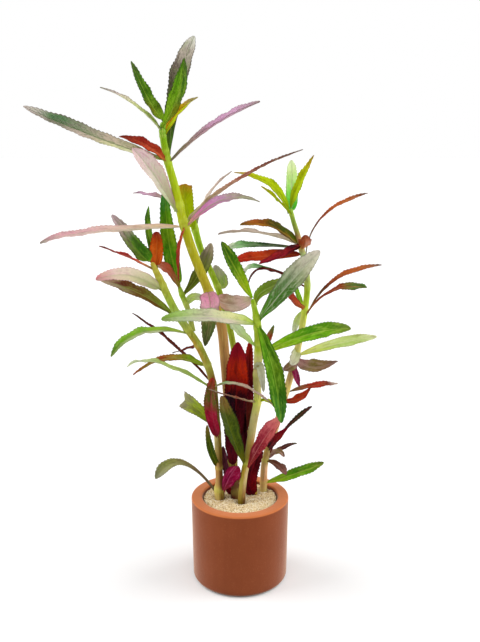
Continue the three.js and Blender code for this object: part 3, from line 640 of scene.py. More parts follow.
# Each finish: the colours of a leaf's upper side, of its left flank where that differs, and of
# its underside, from stalk to tip, and those of its edge and midrib
# A flank's colours are partly the blade's own and partly painted light and shade on that half of the folded
# blade
FINISHES = {
    "crown green": {
        "upper": [(124, 170, 10), (90, 118, 8), (76, 122, 8), (76, 122, 22), (84, 100, 60)],
        "flank": [(100, 140, 10), (110, 106, 10), (50, 92, 6), (44, 84, 10), (60, 80, 40)],
        "under": [(120, 170, 12), (112, 156, 16), (84, 140, 10), (74, 120, 24)],
        "edge": (40, 60, 14), "rib": (160, 196, 60),
    },
    "pale edged": {
        "upper": [(78, 120, 9), (110, 140, 22), (212, 220, 110), (222, 196, 190), (150, 146, 150)],
        "under": [(68, 100, 7), (120, 150, 40), (214, 222, 150), (214, 190, 196), (130, 128, 130)],
        "edge": (150, 140, 120), "rib": (226, 232, 170),
    },
    "grey tipped green": {
        "upper": [
            (80, 120, 12), (56, 96, 8), (60, 104, 16), (84, 90, 52), (124, 112, 96),
            (190, 178, 164), (250, 236, 222),
        ],
        "flank": [
            (104, 130, 20), (56, 84, 12), (60, 62, 32), (70, 62, 48), (120, 106, 94),
            (196, 182, 168), (246, 232, 220),
        ],
        "under": [(140, 160, 50), (106, 130, 40), (120, 116, 90), (196, 184, 174)],
        "edge": (44, 34, 28), "rib": (150, 176, 104),
    },
    "lime with orange": {
        "upper": [(180, 200, 9), (184, 212, 4), (176, 200, 6), (150, 160, 130)],
        "flank": [(216, 160, 18), (206, 84, 13), (190, 130, 14), (140, 140, 130)],
        "under": [(190, 170, 18), (206, 96, 16), (170, 160, 36), (140, 140, 120)],
        "edge": (170, 140, 12), "rib": (214, 190, 30),
    },
    "mauve": {
        "upper": [(104, 122, 40), (150, 136, 112), (186, 140, 160), (196, 150, 180), (150, 132, 128)],
        "flank": [(100, 110, 22), (140, 120, 96), (200, 150, 186), (206, 160, 194), (140, 124, 120)],
        "under": [(110, 120, 40), (160, 136, 120), (192, 140, 166), (190, 150, 176), (140, 124, 120)],
        "edge": (128, 100, 104), "rib": (200, 174, 170),
    },
    "silver green": {
        "upper": [(206, 216, 100), (150, 176, 70), (140, 166, 90), (196, 196, 166)],
        "flank": [
            (150, 190, 60), (172, 182, 126), (208, 184, 170), (136, 142, 116), (66, 114, 70),
            (230, 212, 208),
        ],
        "under": [
            (200, 214, 80), (242, 242, 196), (216, 212, 160), (198, 178, 164), (120, 116, 100),
            (214, 196, 190),
        ],
        "edge": (110, 96, 88), "rib": (84, 132, 54),
    },
    "dark red": {
        "upper": [(176, 90, 40), (160, 50, 24), (140, 30, 18), (130, 30, 18), (116, 44, 26)],
        "flank": [(190, 140, 48), (196, 96, 50), (180, 64, 34), (150, 44, 24), (116, 44, 26)],
        "under": [(190, 120, 36), (176, 56, 30), (150, 36, 24), (116, 40, 26)],
        "edge": (104, 20, 12), "rib": (190, 84, 52),
    },
    "pale pink": {
        "upper": [(160, 160, 100), (200, 186, 166), (218, 196, 186), (226, 190, 204)],
        "flank": [(150, 150, 90), (186, 174, 144), (206, 188, 180), (216, 184, 194)],
        "under": [(160, 196, 90), (214, 218, 184), (226, 212, 200), (236, 208, 206), (238, 196, 200)],
        "edge": (200, 146, 156), "rib": (196, 206, 156),
    },
    "cream pink": {
        "upper": [(206, 200, 150), (220, 206, 178), (218, 190, 182), (208, 170, 172), (130, 118, 112)],
        "flank": [(220, 190, 140), (224, 196, 170), (220, 170, 176), (216, 150, 166), (110, 104, 100)],
        "under": [(226, 206, 156), (228, 214, 188), (222, 192, 186), (218, 170, 178), (110, 104, 100)],
        "edge": (196, 160, 156), "rib": (232, 222, 196),
    },
    "cream to maroon": {
        "upper": [(206, 196, 146), (184, 164, 130), (160, 76, 58), (112, 44, 38), (96, 84, 76)],
        "under": [(206, 200, 150), (180, 160, 124), (150, 64, 52), (104, 38, 32), (96, 80, 74)],
        "edge": (110, 70, 40), "rib": (210, 186, 156),
    },
    "pink and sage": {
        "upper": [(196, 96, 80), (190, 110, 160), (170, 134, 150), (150, 146, 120), (130, 130, 104)],
        "under": [(226, 150, 110), (208, 122, 178), (196, 144, 182), (164, 160, 134), (150, 154, 124)],
        "edge": (136, 110, 116), "rib": (176, 176, 130),
    },
    "dark maroon": {
        "upper": [(110, 48, 32), (90, 28, 20), (84, 18, 19), (96, 60, 34)],
        "under": [(120, 56, 40), (96, 32, 28), (90, 28, 28), (104, 76, 70)],
        "edge": (50, 16, 16), "rib": (140, 68, 56),
    },
    "pink with green tip": {
        "upper": [(200, 150, 150), (214, 134, 170), (216, 158, 178), (90, 104, 40), (40, 84, 6), (26, 70, 2)],
        "under": [(206, 160, 160), (206, 150, 170), (190, 150, 150), (90, 116, 40)],
        "edge": (120, 96, 70), "rib": (176, 160, 116),
    },
    "crimson": {
        "upper": [(70, 20, 20), (50, 4, 16), (110, 8, 16), (140, 20, 20), (140, 10, 36)],
        "flank": [(60, 6, 20), (60, 4, 20), (120, 10, 30), (120, 6, 36), (130, 8, 40)],
        "under": [(110, 26, 30), (120, 16, 36), (150, 32, 48), (140, 32, 48)],
        "edge": (56, 4, 16), "rib": (174, 36, 44),
    },
    "bright crimson": {
        "upper": [(150, 60, 60), (140, 4, 62), (140, 2, 56), (132, 4, 44)],
        "flank": [(140, 50, 70), (126, 2, 66), (130, 2, 60), (128, 4, 50)],
        "under": [(140, 48, 56), (150, 20, 64), (156, 28, 68), (140, 28, 52)],
        "edge": (96, 2, 40), "rib": (220, 100, 146),
    },
    "near black": {
        "upper": [(110, 16, 32), (70, 6, 19), (30, 3, 13), (22, 4, 18)],
        "under": [(120, 32, 40), (80, 13, 28), (50, 6, 19), (40, 6, 19)],
        "edge": (30, 3, 13), "rib": (96, 16, 40),
    },
    "deep crimson": {
        "upper": [(110, 8, 24), (136, 10, 20), (116, 8, 22), (74, 4, 16), (60, 12, 16)],
        "flank": [(60, 4, 20), (56, 3, 16), (44, 4, 14), (30, 4, 12)],
        "under": [(110, 20, 34), (90, 8, 24), (70, 6, 20)],
        "edge": (44, 3, 12), "rib": (150, 22, 44),
    },
    "dusky crimson": {
        "upper": [(96, 24, 40), (96, 26, 46), (112, 54, 70), (84, 30, 44)],
        "under": [(110, 40, 56), (110, 50, 66), (90, 40, 50)],
        "edge": (50, 12, 24), "rib": (140, 76, 92),
    },
    "maroon with olive foot": {
        "upper": [(140, 130, 60), (166, 146, 96), (84, 28, 24), (56, 8, 18), (64, 20, 26), (90, 100, 70)],
        "under": [(110, 100, 40), (140, 120, 60), (80, 30, 24), (60, 14, 20), (90, 80, 60)],
        "edge": (50, 16, 16), "rib": (130, 96, 76),
    },
    "dark mauve brown": {
        "upper": [(120, 90, 40), (110, 66, 50), (104, 62, 52), (130, 84, 76), (146, 100, 90)],
        "under": [(150, 110, 90), (150, 110, 100), (140, 100, 90)],
        "edge": (70, 36, 30), "rib": (150, 112, 96),
    },
    "crimson with black heart": {
        "upper": [
            (110, 14, 30), (112, 12, 30), (84, 6, 22), (60, 6, 18), (40, 4, 14), (160, 26, 10),
            (204, 50, 8), (150, 14, 26), (144, 8, 40),
        ],
        "flank": [
            (80, 8, 24), (50, 6, 20), (24, 4, 14), (16, 3, 10), (18, 3, 8), (140, 18, 14),
            (190, 42, 10), (140, 12, 28), (134, 6, 40),
        ],
        "under": [(110, 26, 30), (90, 14, 26), (120, 20, 30), (150, 24, 44)],
        "edge": (64, 4, 18), "rib": (150, 26, 34),
    },
    "crimson with brick tip": {
        "upper": [
            (90, 26, 20), (110, 56, 36), (100, 14, 30), (92, 6, 24), (104, 8, 24), (150, 24, 12),
            (180, 40, 14),
        ],
        "flank": [
            (50, 10, 14), (84, 30, 24), (70, 6, 20), (60, 4, 18), (90, 6, 22), (140, 16, 16),
            (170, 32, 14),
        ],
        "under": [(110, 40, 34), (100, 20, 30), (120, 20, 26), (160, 40, 30)],
        "edge": (64, 6, 14), "rib": (150, 44, 36),
    },
    "green with mauve tip": {
        "upper": [
            (120, 190, 20), (70, 130, 10), (48, 94, 6), (50, 104, 14), (70, 110, 34),
            (176, 156, 150), (200, 170, 180),
        ],
        "flank": [
            (150, 190, 50), (90, 120, 20), (84, 100, 30), (90, 104, 40), (120, 116, 80),
            (190, 160, 164), (206, 176, 186),
        ],
        "under": [(140, 180, 50), (110, 150, 50), (120, 130, 80), (190, 166, 170)],
        "edge": (60, 66, 26), "rib": (124, 166, 50),
    },
    "red with grey tip": {
        "upper": [(160, 186, 90), (196, 130, 80), (190, 40, 36), (150, 30, 32), (96, 44, 44), (70, 76, 66)],
        "under": [(170, 180, 100), (196, 100, 80), (170, 50, 46), (90, 70, 64)],
        "edge": (100, 28, 24), "rib": (206, 100, 84),
    },
    "mint to rose": {
        "upper": [
            (206, 220, 60), (130, 190, 116), (184, 170, 140), (176, 136, 124), (196, 156, 140),
            (170, 130, 124),
        ],
        "under": [(200, 206, 80), (150, 180, 120), (180, 150, 136), (170, 130, 124)],
        "edge": (130, 104, 90), "rib": (214, 206, 176),
    },
    "bright green with teal tip": {
        "upper": [(120, 170, 8), (84, 150, 6), (70, 136, 6), (120, 156, 12), (90, 150, 16), (76, 156, 84)],
        "flank": [(60, 120, 8), (48, 112, 4), (60, 128, 6), (96, 140, 12), (60, 126, 20), (70, 156, 90)],
        "under": [(146, 184, 40), (104, 150, 30), (90, 140, 30), (96, 150, 80)],
        "edge": (36, 80, 8), "rib": (156, 196, 50),
    },
    "brick brown": {
        "upper": [(130, 160, 30), (150, 96, 50), (176, 80, 50), (184, 104, 80), (206, 186, 156)],
        "under": [(150, 160, 60), (170, 110, 76), (180, 104, 84), (206, 180, 156)],
        "edge": (120, 44, 26), "rib": (196, 130, 104),
    },
    "pale with vivid foot": {
        "upper": [(50, 180, 6), (80, 206, 30), (160, 220, 100), (206, 226, 150), (226, 240, 190)],
        "under": [(60, 180, 20), (120, 206, 70), (190, 220, 140), (220, 236, 180)],
        "edge": (170, 190, 120), "rib": (226, 236, 180),
    },
    "dusty cream": {
        "upper": [(190, 190, 130), (212, 200, 176), (214, 196, 182), (200, 178, 168), (140, 126, 118)],
        "under": [(200, 196, 140), (220, 208, 186), (216, 198, 186), (204, 180, 170), (130, 118, 110)],
        "edge": (160, 136, 124), "rib": (228, 218, 196),
    },
    "pink with brown heart": {
        "upper": [(212, 156, 156), (176, 140, 116), (180, 164, 140), (214, 180, 178), (184, 176, 124)],
        "flank": [(206, 150, 150), (150, 116, 90), (150, 132, 100), (190, 156, 146), (170, 166, 110)],
        "under": [(206, 160, 150), (180, 150, 130), (200, 170, 160), (190, 180, 130)],
        "edge": (140, 104, 92), "rib": (214, 190, 170),
    },
    "silver with dark stalk": {
        "upper": [
            (196, 190, 130), (70, 80, 40), (22, 52, 14), (60, 116, 40), (128, 186, 116),
            (196, 210, 176), (214, 200, 190),
        ],
        "under": [(196, 190, 130), (90, 110, 60), (140, 160, 110), (200, 196, 176)],
        "edge": (70, 92, 50), "rib": (186, 216, 170),
    },
    "ruddy brown": {
        "upper": [(190, 150, 60), (176, 96, 40), (140, 60, 30), (160, 70, 36), (120, 40, 24)],
        "flank": [(200, 160, 80), (196, 120, 80), (200, 140, 116), (170, 90, 60), (130, 50, 30)],
        "under": [(196, 156, 60), (180, 100, 40), (160, 66, 30), (170, 80, 40), (130, 44, 26)],
        "edge": (84, 30, 14), "rib": (206, 130, 80),
    },
    "silver sage": {
        "upper": [(160, 172, 106), (176, 178, 138), (188, 186, 156), (186, 184, 166)],
        "under": [(160, 172, 106), (178, 182, 144), (186, 186, 166)],
        "edge": (138, 130, 106), "rib": (212, 212, 176),
    },
    "red with olive stalk": {
        "upper": [
            (120, 130, 64), (146, 130, 84), (150, 90, 56), (170, 40, 22), (160, 28, 18),
            (110, 26, 20), (210, 196, 180),
        ],
        "under": [(120, 130, 70), (150, 110, 70), (160, 44, 30), (120, 30, 24), (200, 180, 160)],
        "edge": (90, 30, 18), "rib": (196, 110, 76),
    },
    "lime": {
        "upper": [(146, 180, 9), (170, 196, 4), (184, 204, 4), (176, 190, 4), (200, 96, 40)],
        "flank": [(120, 150, 9), (140, 160, 4), (168, 184, 4), (170, 170, 6), (170, 110, 30)],
        "under": [(146, 180, 11), (176, 200, 9), (186, 206, 9), (180, 196, 14), (200, 130, 36)],
        "edge": (130, 140, 9), "rib": (200, 214, 40),
    },
    "sage with mauve edge": {
        "upper": [(150, 160, 46), (118, 140, 40), (106, 134, 46), (150, 140, 130)],
        "under": [(160, 170, 58), (130, 146, 56), (150, 144, 126)],
        "edge": (150, 132, 130), "rib": (186, 198, 110),
    },
    "brick red": {
        "upper": [(110, 24, 16), (150, 40, 14), (186, 60, 16), (180, 34, 14), (110, 16, 13)],
        "flank": [(140, 40, 20), (160, 34, 13), (170, 50, 14), (166, 26, 13), (100, 16, 13)],
        "under": [(150, 64, 44), (170, 54, 30), (140, 36, 28)],
        "edge": (84, 12, 10), "rib": (206, 90, 44),
    },
    "cream with pink edge": {
        "upper": [(170, 180, 94), (206, 200, 160), (222, 206, 188), (214, 184, 178), (190, 92, 110)],
        "flank": [(116, 136, 46), (156, 164, 110), (196, 190, 150), (206, 184, 166), (190, 120, 138)],
        "under": [(160, 170, 94), (190, 190, 150), (206, 190, 170), (190, 140, 150)],
        "edge": (196, 150, 154), "rib": (196, 196, 150),
    },
    "brown with green foot": {
        "upper": [(146, 186, 22), (116, 130, 40), (100, 66, 30), (88, 30, 19), (176, 136, 126)],
        "flank": [(68, 124, 9), (110, 44, 22), (120, 84, 38), (166, 156, 126), (196, 168, 150)],
        "under": [(140, 170, 52), (120, 110, 42), (110, 70, 34), (170, 140, 130)],
        "edge": (110, 70, 32), "rib": (166, 176, 84),
    },
    "brown with dark foot": {
        "upper": [(90, 116, 18), (48, 76, 7), (76, 70, 10), (164, 78, 24), (110, 84, 30)],
        "flank": [(120, 120, 80), (90, 70, 18), (120, 80, 16), (176, 110, 22), (90, 80, 56)],
        "under": [(90, 110, 22), (70, 80, 14), (110, 80, 24), (150, 100, 30)],
        "edge": (104, 50, 19), "rib": (180, 130, 36),
    },
    "rust": {
        "upper": [(150, 60, 16), (196, 84, 14), (190, 84, 6), (180, 70, 6), (130, 2, 38)],
        "under": [(190, 88, 30), (190, 80, 30), (176, 64, 26), (140, 22, 36)],
        "edge": (116, 36, 6), "rib": (206, 110, 40),
    },
    "orange brown": {
        "upper": [
            (118, 136, 84), (92, 84, 50), (78, 26, 18), (156, 52, 26), (190, 92, 40), (176, 96, 50),
            (110, 100, 92),
        ],
        "under": [(118, 136, 84), (90, 74, 46), (80, 30, 20), (156, 60, 30), (186, 92, 46), (110, 100, 92)],
        "edge": (96, 26, 14), "rib": (206, 126, 70),
    },
    "deep green": {
        "upper": [(130, 176, 20), (84, 142, 12), (80, 130, 10), (56, 106, 14), (70, 134, 50)],
        "flank": [(70, 112, 8), (50, 98, 6), (84, 112, 10), (44, 92, 10), (50, 108, 36)],
        "under": [(146, 184, 40), (104, 150, 30), (90, 132, 30), (96, 130, 50)],
        "edge": (36, 66, 10), "rib": (156, 200, 60),
    },
    "green with lime foot": {
        "upper": [(130, 196, 4), (150, 178, 14), (92, 136, 6), (52, 104, 6), (30, 76, 12)],
        "flank": [(140, 176, 16), (150, 164, 20), (76, 112, 6), (34, 88, 4), (20, 66, 10)],
        "under": [(160, 200, 30), (156, 180, 40), (96, 138, 24), (56, 98, 20)],
        "edge": (34, 66, 6), "rib": (176, 200, 60),
    },
    "crimson with green tip": {
        "upper": [(120, 24, 36), (148, 6, 44), (140, 4, 38), (70, 84, 6), (84, 70, 10), (160, 34, 12)],
        "under": [(150, 48, 56), (150, 32, 48), (120, 48, 40), (150, 48, 32)],
        "edge": (90, 8, 24), "rib": (184, 58, 80),
    },
    "olive": {
        "upper": [(156, 192, 15), (132, 152, 22), (124, 138, 46), (140, 126, 108)],
        "flank": [(146, 176, 14), (116, 140, 22), (130, 136, 56), (134, 120, 110)],
        "under": [(150, 180, 40), (130, 146, 46), (130, 130, 96), (140, 126, 110)],
        "edge": (118, 102, 90), "rib": (190, 210, 58),
    },
    "silvery fresh green": {
        "upper": [(196, 220, 94), (150, 190, 56), (124, 178, 40), (108, 160, 24), (52, 88, 14)],
        "flank": [(210, 216, 120), (196, 196, 164), (182, 176, 154), (146, 166, 110), (68, 90, 20)],
        "under": [(200, 216, 120), (190, 200, 150), (180, 190, 150), (110, 140, 58)],
        "edge": (128, 134, 96), "rib": (186, 208, 114),
    },
    "pale sage": {
        "upper": [(168, 220, 40), (180, 206, 102), (184, 206, 114), (204, 216, 176), (222, 226, 200)],
        "under": [(150, 200, 52), (176, 200, 110), (180, 200, 150), (200, 206, 180)],
        "edge": (150, 156, 116), "rib": (222, 230, 170),
    },
    "green with red tip": {
        "upper": [
            (150, 184, 40), (124, 160, 24), (150, 116, 30), (146, 56, 22), (120, 96, 14),
            (150, 36, 22),
        ],
        "under": [(160, 190, 58), (130, 160, 46), (150, 96, 34), (150, 48, 34)],
        "edge": (100, 36, 22), "rib": (180, 176, 84),
    },
    "olive with brown stalk": {
        "upper": [(120, 92, 70), (130, 104, 80), (142, 132, 80), (140, 146, 74), (128, 132, 98)],
        "flank": [(116, 88, 74), (124, 100, 78), (150, 146, 96), (158, 160, 108), (140, 140, 120)],
        "under": [(110, 84, 72), (124, 104, 84), (146, 140, 96), (140, 140, 110)],
        "edge": (84, 72, 52), "rib": (176, 172, 108),
    },
    "olive with mauve tip": {
        "upper": [(110, 122, 16), (90, 110, 12), (102, 120, 26), (136, 132, 96), (200, 176, 164)],
        "flank": [(80, 90, 14), (76, 86, 12), (90, 100, 22), (126, 118, 92), (186, 164, 154)],
        "under": [(130, 140, 52), (120, 130, 52), (130, 130, 100), (190, 166, 154)],
        "edge": (90, 84, 60), "rib": (160, 172, 76),
    },
    "sage": {
        "upper": [(140, 154, 12), (106, 136, 15), (94, 122, 20), (104, 124, 44), (110, 130, 52)],
        "under": [(150, 170, 40), (120, 150, 40), (110, 140, 52), (120, 140, 58)],
        "edge": (92, 94, 40), "rib": (156, 178, 88),
    },
    "silver with green foot": {
        "upper": [(84, 150, 14), (46, 104, 6), (64, 108, 34), (166, 168, 134), (222, 214, 196)],
        "flank": [(100, 160, 20), (60, 116, 16), (110, 136, 90), (186, 182, 160), (216, 204, 190)],
        "under": [(130, 160, 50), (130, 150, 80), (176, 176, 146), (206, 194, 176)],
        "edge": (110, 106, 80), "rib": (212, 220, 184),
    },
    "silver striped": {
        "upper": [(190, 224, 40), (216, 216, 150), (192, 186, 160), (152, 184, 96), (116, 156, 44)],
        "flank": [(180, 214, 40), (208, 190, 180), (188, 172, 168), (160, 170, 140), (108, 130, 48)],
        "under": [(190, 216, 58), (206, 206, 160), (190, 186, 160), (130, 160, 84)],
        "edge": (120, 138, 96), "rib": (212, 226, 168),
    },
    "dark olive": {
        "upper": [(104, 90, 12), (62, 74, 6), (48, 70, 4), (60, 74, 8), (130, 96, 44)],
        "under": [(104, 96, 14), (62, 76, 6), (52, 72, 4), (62, 74, 8), (134, 94, 50)],
        "edge": (34, 42, 6), "rib": (106, 120, 24),
    },
    "rose": {
        "upper": [(140, 44, 22), (124, 16, 36), (162, 50, 58), (196, 96, 92), (206, 126, 108)],
        "flank": [(120, 26, 22), (106, 12, 34), (150, 40, 58), (192, 90, 96), (206, 130, 112)],
        "under": [(206, 88, 72), (200, 80, 96), (210, 130, 140)],
        "edge": (140, 30, 44), "rib": (222, 120, 120),
    },
    "fresh green": {
        "upper": [(200, 224, 40), (150, 196, 26), (110, 180, 22), (104, 164, 16), (124, 140, 50)],
        "flank": [(164, 200, 40), (120, 180, 16), (60, 136, 10), (76, 130, 14), (100, 110, 50)],
        "under": [(186, 208, 50), (134, 176, 30), (100, 148, 30)],
        "edge": (80, 96, 40), "rib": (206, 232, 94),
    },
    "red with green tip": {
        "upper": [(190, 150, 84), (150, 70, 40), (140, 46, 28), (150, 52, 28), (84, 120, 50), (50, 126, 50)],
        "under": [(170, 130, 70), (140, 60, 44), (150, 80, 56), (80, 130, 60)],
        "edge": (84, 30, 20), "rib": (200, 130, 84),
    },
    "mottled sage": {
        "upper": [(214, 214, 60), (190, 206, 84), (168, 194, 96), (160, 186, 92), (226, 230, 176)],
        "flank": [(216, 216, 90), (206, 214, 120), (196, 210, 130), (170, 190, 100), (226, 226, 180)],
        "under": [(220, 220, 110), (200, 210, 130), (196, 206, 150)],
        "edge": (140, 124, 84), "rib": (230, 236, 180),
    },
    "mauve brown": {
        "upper": [(184, 134, 130), (164, 122, 116), (144, 128, 72), (146, 112, 76), (136, 98, 96)],
        "flank": [(186, 130, 132), (170, 120, 116), (126, 116, 56), (128, 104, 60), (130, 96, 90)],
        "under": [(190, 160, 150), (170, 130, 130), (150, 110, 110)],
        "edge": (104, 76, 64), "rib": (204, 170, 156),
    },
    "crimson with black tip": {
        "upper": [(130, 16, 28), (122, 22, 40), (72, 36, 40), (48, 60, 16), (34, 44, 30)],
        "under": [(150, 48, 56), (130, 40, 56), (90, 60, 64), (60, 60, 50)],
        "edge": (42, 16, 20), "rib": (156, 68, 76),
    },
}
LEAF_FOLD = 0.22
LEAF_STALK = 0.16
LEAF_POINT = 0.04
LEAF_CLEARANCE = 0.7
LEAF_ROOT = 0.6
BLADE_THICKNESS = 0.26
EDGE_THICKNESS = 0.6
CROWDED_EDGE = 1.25
RIB_DEPTH = 0.4
RIB_GROOVE = 0.12
RIB_HALF_WIDTH = 0.13
RIB_END = 0.4
TOOTH_SPACING = 1.9
TOOTH_DEPTH = 0.62
TOOTH_PEAK = 0.25
TOOTH_OFFSET = 0.4
TEETH_START = 0.24
TEETH_FADE = 0.15
FEWEST_TEETH = 4
STEPS_IN_A_TOOTH = 5
HALF_COLUMNS = 5
BROKEN_SHARE = 0.62
TORN_FROM = 0.9
VEIN_SPACING = 2.3
VEIN_SLANT = 1.3
RIPPLES = (0.2, 0.55)
WAVES = (1.6, 3.2)
TILT = 0.5
GRAIN_REACH = 500
SWELLS = 0.14
SWELL_PACE = 0.16
CRINKLE = 0.7
CRINKLE_PACE = 0.3
LEAF_PATCH = 5 * MM
LEAF_LUMP = 2.2 * MM
LEAF_MOTTLE = 1.6 * MM
LEAF_RELIEF = 0.35 * MM
SHINE_THROUGH = 0.18
SHADE_LIFT = 1.2


def leaf_breadth(share, outline):
    """How broad a blade is, as a share of its width, from its stalk (0) to its tip (1)."""
    widest, fullness = outline
    blade = math.sin(math.pi * min(max(share, 0.0), 1.0) ** widest) ** fullness
    return LEAF_STALK * (1 - share) + LEAF_POINT + (1 - LEAF_STALK) * blade


def add_blade(shape, stem_points, row, chance, slot_index=0):
    """Cuts a flat blade from a grid, gives it a thickness, and bends it along its leaf's line."""
    height, middle, tip, width, outline, face, _finish, *kind = row
    young, broken = YOUNG in kind, BROKEN in kind
    kept = BROKEN_SHARE if broken else 1.0
    share = share_at_height(stem_points, height)
    centre, radius = stem_place(stem_points, share)
    middle, end, face = Vector(middle), Vector(tip), Vector(face)
    outward = middle - centre
    if height < stem_points[-1][2]:
        heading = stem_heading(stem_points, share)
        outward -= heading * outward.dot(heading)
    start = centre + outward.normalized() * (0 if young else radius + LEAF_CLEARANCE)
    bend = 2 * middle - (start + end) / 2
    length = (bend - start).length / 2 + (end - start).length / 2 + (end - bend).length / 2
    root = 0 if young else -(radius * LEAF_ROOT + LEAF_CLEARANCE) / length
    teeth = max(FEWEST_TEETH, round(length / TOOTH_SPACING))
    phase = chance.random()
    ripple = chance.uniform(*RIPPLES)
    waves = chance.uniform(*WAVES)
    tilt = chance.uniform(-TILT, TILT)
    start_of_grain = chance.uniform(0, GRAIN_REACH)

    blade = bmesh.new()
    bmesh.ops.create_grid(
        blade, x_segments=2 * HALF_COLUMNS, y_segments=teeth * STEPS_IN_A_TOOTH, size=1
    )
    bmesh.ops.solidify(blade, geom=blade.faces[:], thickness=1)
    lowest = min(corner.co.z for corner in blade.verts)
    highest = max(corner.co.z for corner in blade.verts)
    span_map = blade.loops.layers.uv.new("Blade")
    vein_map = blade.loops.layers.uv.new("Veins")
    underside = blade.verts.layers.float.new("underside")
    places = {}
    for corner in blade.verts:
        x, y, z = corner.co
        across = math.copysign(abs(x) ** CROWDED_EDGE, x)
        along = root + (1 - root) * (y + 1) / 2
        under = z < (lowest + highest) / 2
        places[corner] = (across, (y + 1) / 2)
        # The blade's line here, and which way it faces
        bow = 1 - along
        point = start * bow**2 + bend * 2 * bow * along + end * along**2
        forward = ((bend - start) * bow + (end - bend) * along).normalized()
        up = (face - forward * face.dot(forward)).normalized()
        side = forward.cross(up)
        # Its breadth, less its teeth and, on a broken leaf, what is torn off
        breadth = leaf_breadth(along * kept, outline)
        saw = (along * teeth + phase + (TOOTH_OFFSET if across > 0 else 0)) % 1
        slope = 1 - saw if saw > TOOTH_PEAK else saw * 3
        toothed = min(max((along - TEETH_START) / TEETH_FADE, 0), 1) * (0.5 if young else 1)
        notch = TOOTH_DEPTH * toothed * slope * abs(across) ** 6
        torn = 0.0
        if broken and y > TORN_FROM:
            ragged = noise.noise(Vector((across * 3, phase, height)))
            torn = (y - TORN_FROM) * 10 * (0.8 + 1.8 * ragged)
        edge_place = Vector((along * length * SWELL_PACE, math.copysign(2, across), start_of_grain))
        uneven = 1 + SWELLS * noise.noise(edge_place)
        reach = across * (breadth * width / 2 * uneven - notch * min(1, breadth * 1.5))
        # How far it rises: its fold, its crinkles, its waves, its tilt and its midrib
        lift = (abs(reach) - breadth * width / 4) * LEAF_FOLD * 2
        crinkle_place = (along * length * CRINKLE_PACE, across * 1.3, start_of_grain + 7)
        crinkle = noise.noise(Vector(crinkle_place))
        lift += CRINKLE * crinkle * breadth * (0.4 + 0.6 * abs(across))
        lift += ripple * math.sin(2 * math.pi * (waves * along + phase)) * across**2 * breadth
        lift += tilt * across * breadth * math.sin(math.pi * along)
        fading = RIB_END + (1 - RIB_END) * (1 - along)
        rib = max(0.0, 1 - abs(across) / RIB_HALF_WIDTH) * fading
        half = BLADE_THICKNESS / 2 * (EDGE_THICKNESS + (1 - EDGE_THICKNESS) * breadth)
        lift += -half - RIB_DEPTH * rib if under else half - RIB_GROOVE * rib
        corner.co = (point + side * reach + up * lift - forward * torn) * MM
        corner[underside] = 1.0 if under else 0.0
    for piece_face in blade.faces:
        piece_face.material_index = slot_index
        for loop in piece_face.loops:
            across, along = places[loop.vert]
            loop[span_map].uv = (across / 2 + 0.5, along)
            loop[vein_map].uv = (across * width / 2, along * length + start_of_grain)
    bmesh.ops.recalc_face_normals(blade, faces=blade.faces)
    part = bpy.data.meshes.new("blade")
    blade.to_mesh(part)
    blade.free()
    shape.from_mesh(part)
    bpy.data.meshes.remove(part)


def spread(colours):
    """Colours as seen from one end to the other, as stops of a ramp. Each is lifted a little,
    because a leaf lies half in its own shade."""
    stops = []
    for i, colour in enumerate(colours):
        lifted = [min(channel * SHADE_LIFT, 1) for channel in paint(*colour)[:3]]
        stops.append((i / (len(colours) - 1), (*lifted, 1)))
    return stops


def leaf_finish(name, upper, under, edge, rib, flank=None):
    """A living blade, coloured from stalk to tip, with streaks, spots, veins and a rim."""
    leaf = Finish(f"{name} leaf")
    span = leaf.map("Blade")
    across = leaf.axis("X", span)
    along = leaf.axis("Y", span)
    side = abs(across * 2 - 1)
    reach = leaf.map("Veins")
    out = leaf.axis("X", reach)
    up = leaf.axis("Y", reach)
    patch = leaf.grain(LEAF_PATCH, 3.0)
    mottle = leaf.grain(LEAF_MOTTLE, 3.0, 0.6)
    streak = leaf.grain(1, 3.0, 0.6, where=leaf.scaled(reach, 0.7, 0.13, 1))
    share = along + (patch - 0.5) * 0.16 + (streak - 0.5) * 0.14
    top = leaf.ramp(share, spread(upper))
    bottom = leaf.ramp(share, spread(under))
    body = leaf.mix(leaf.mark("underside"), top, bottom)
    # The left flank carries painted light and shade on that half of the folded blade, as well as its own
    # colour
    if flank:
        left = (across + (streak - 0.5) * 0.3).step(0.62, 0.4)
        body = leaf.mix(left * 0.8, body, leaf.ramp(share, spread(flank)))
    body = leaf.mix(streak.step(0.5, 0.64) * 0.4, body, paint(*rib))
    body = leaf.mix(streak.step(0.48, 0.34) * 0.45, body, paint(*edge))
    body = leaf.mix(mottle.step(0.54, 0.7) * 0.25, body, paint(*rib))
    body = leaf.mix(mottle.step(0.46, 0.3) * 0.3, body, paint(*edge))
    wave = ((up - abs(out) * VEIN_SLANT) / VEIN_SPACING).part()
    vein = abs(wave - 0.5).step(0.12, 0.02) * side.step(1.0, 0.5)
    middle = abs(out).step(0.42, 0.16)
    rim = (side + (streak - 0.5) * 0.3).step(0.82, 1.0)
    body = leaf.mix(vein * 0.14, body, paint(*rib))
    body = leaf.mix(middle * (0.8 - 0.5 * along), body, paint(*rib))
    body = leaf.mix(rim * 0.8, body, paint(*edge))
    height = streak * 0.5 - vein * 0.5 - middle * 0.5 + leaf.grain(LEAF_LUMP, 2.0) * 0.8
    blade = leaf.surface(
        Base_Color=body,
        Roughness=0.42 + 0.2 * patch,
        Normal=leaf.bump(height, LEAF_RELIEF, 0.9),
        Specular_IOR_Level=0.06,
    )
    glow_colour = [(a + b) / 2 for a, b in zip(upper[1], upper[2], strict=True)]
    glow = leaf.node("ShaderNodeBsdfTranslucent", {}, {"Color": paint(*glow_colour)})
    both = leaf.node("ShaderNodeMixShader", {}, {0: SHINE_THROUGH, 1: blade, 2: glow})
    return leaf.show(both)


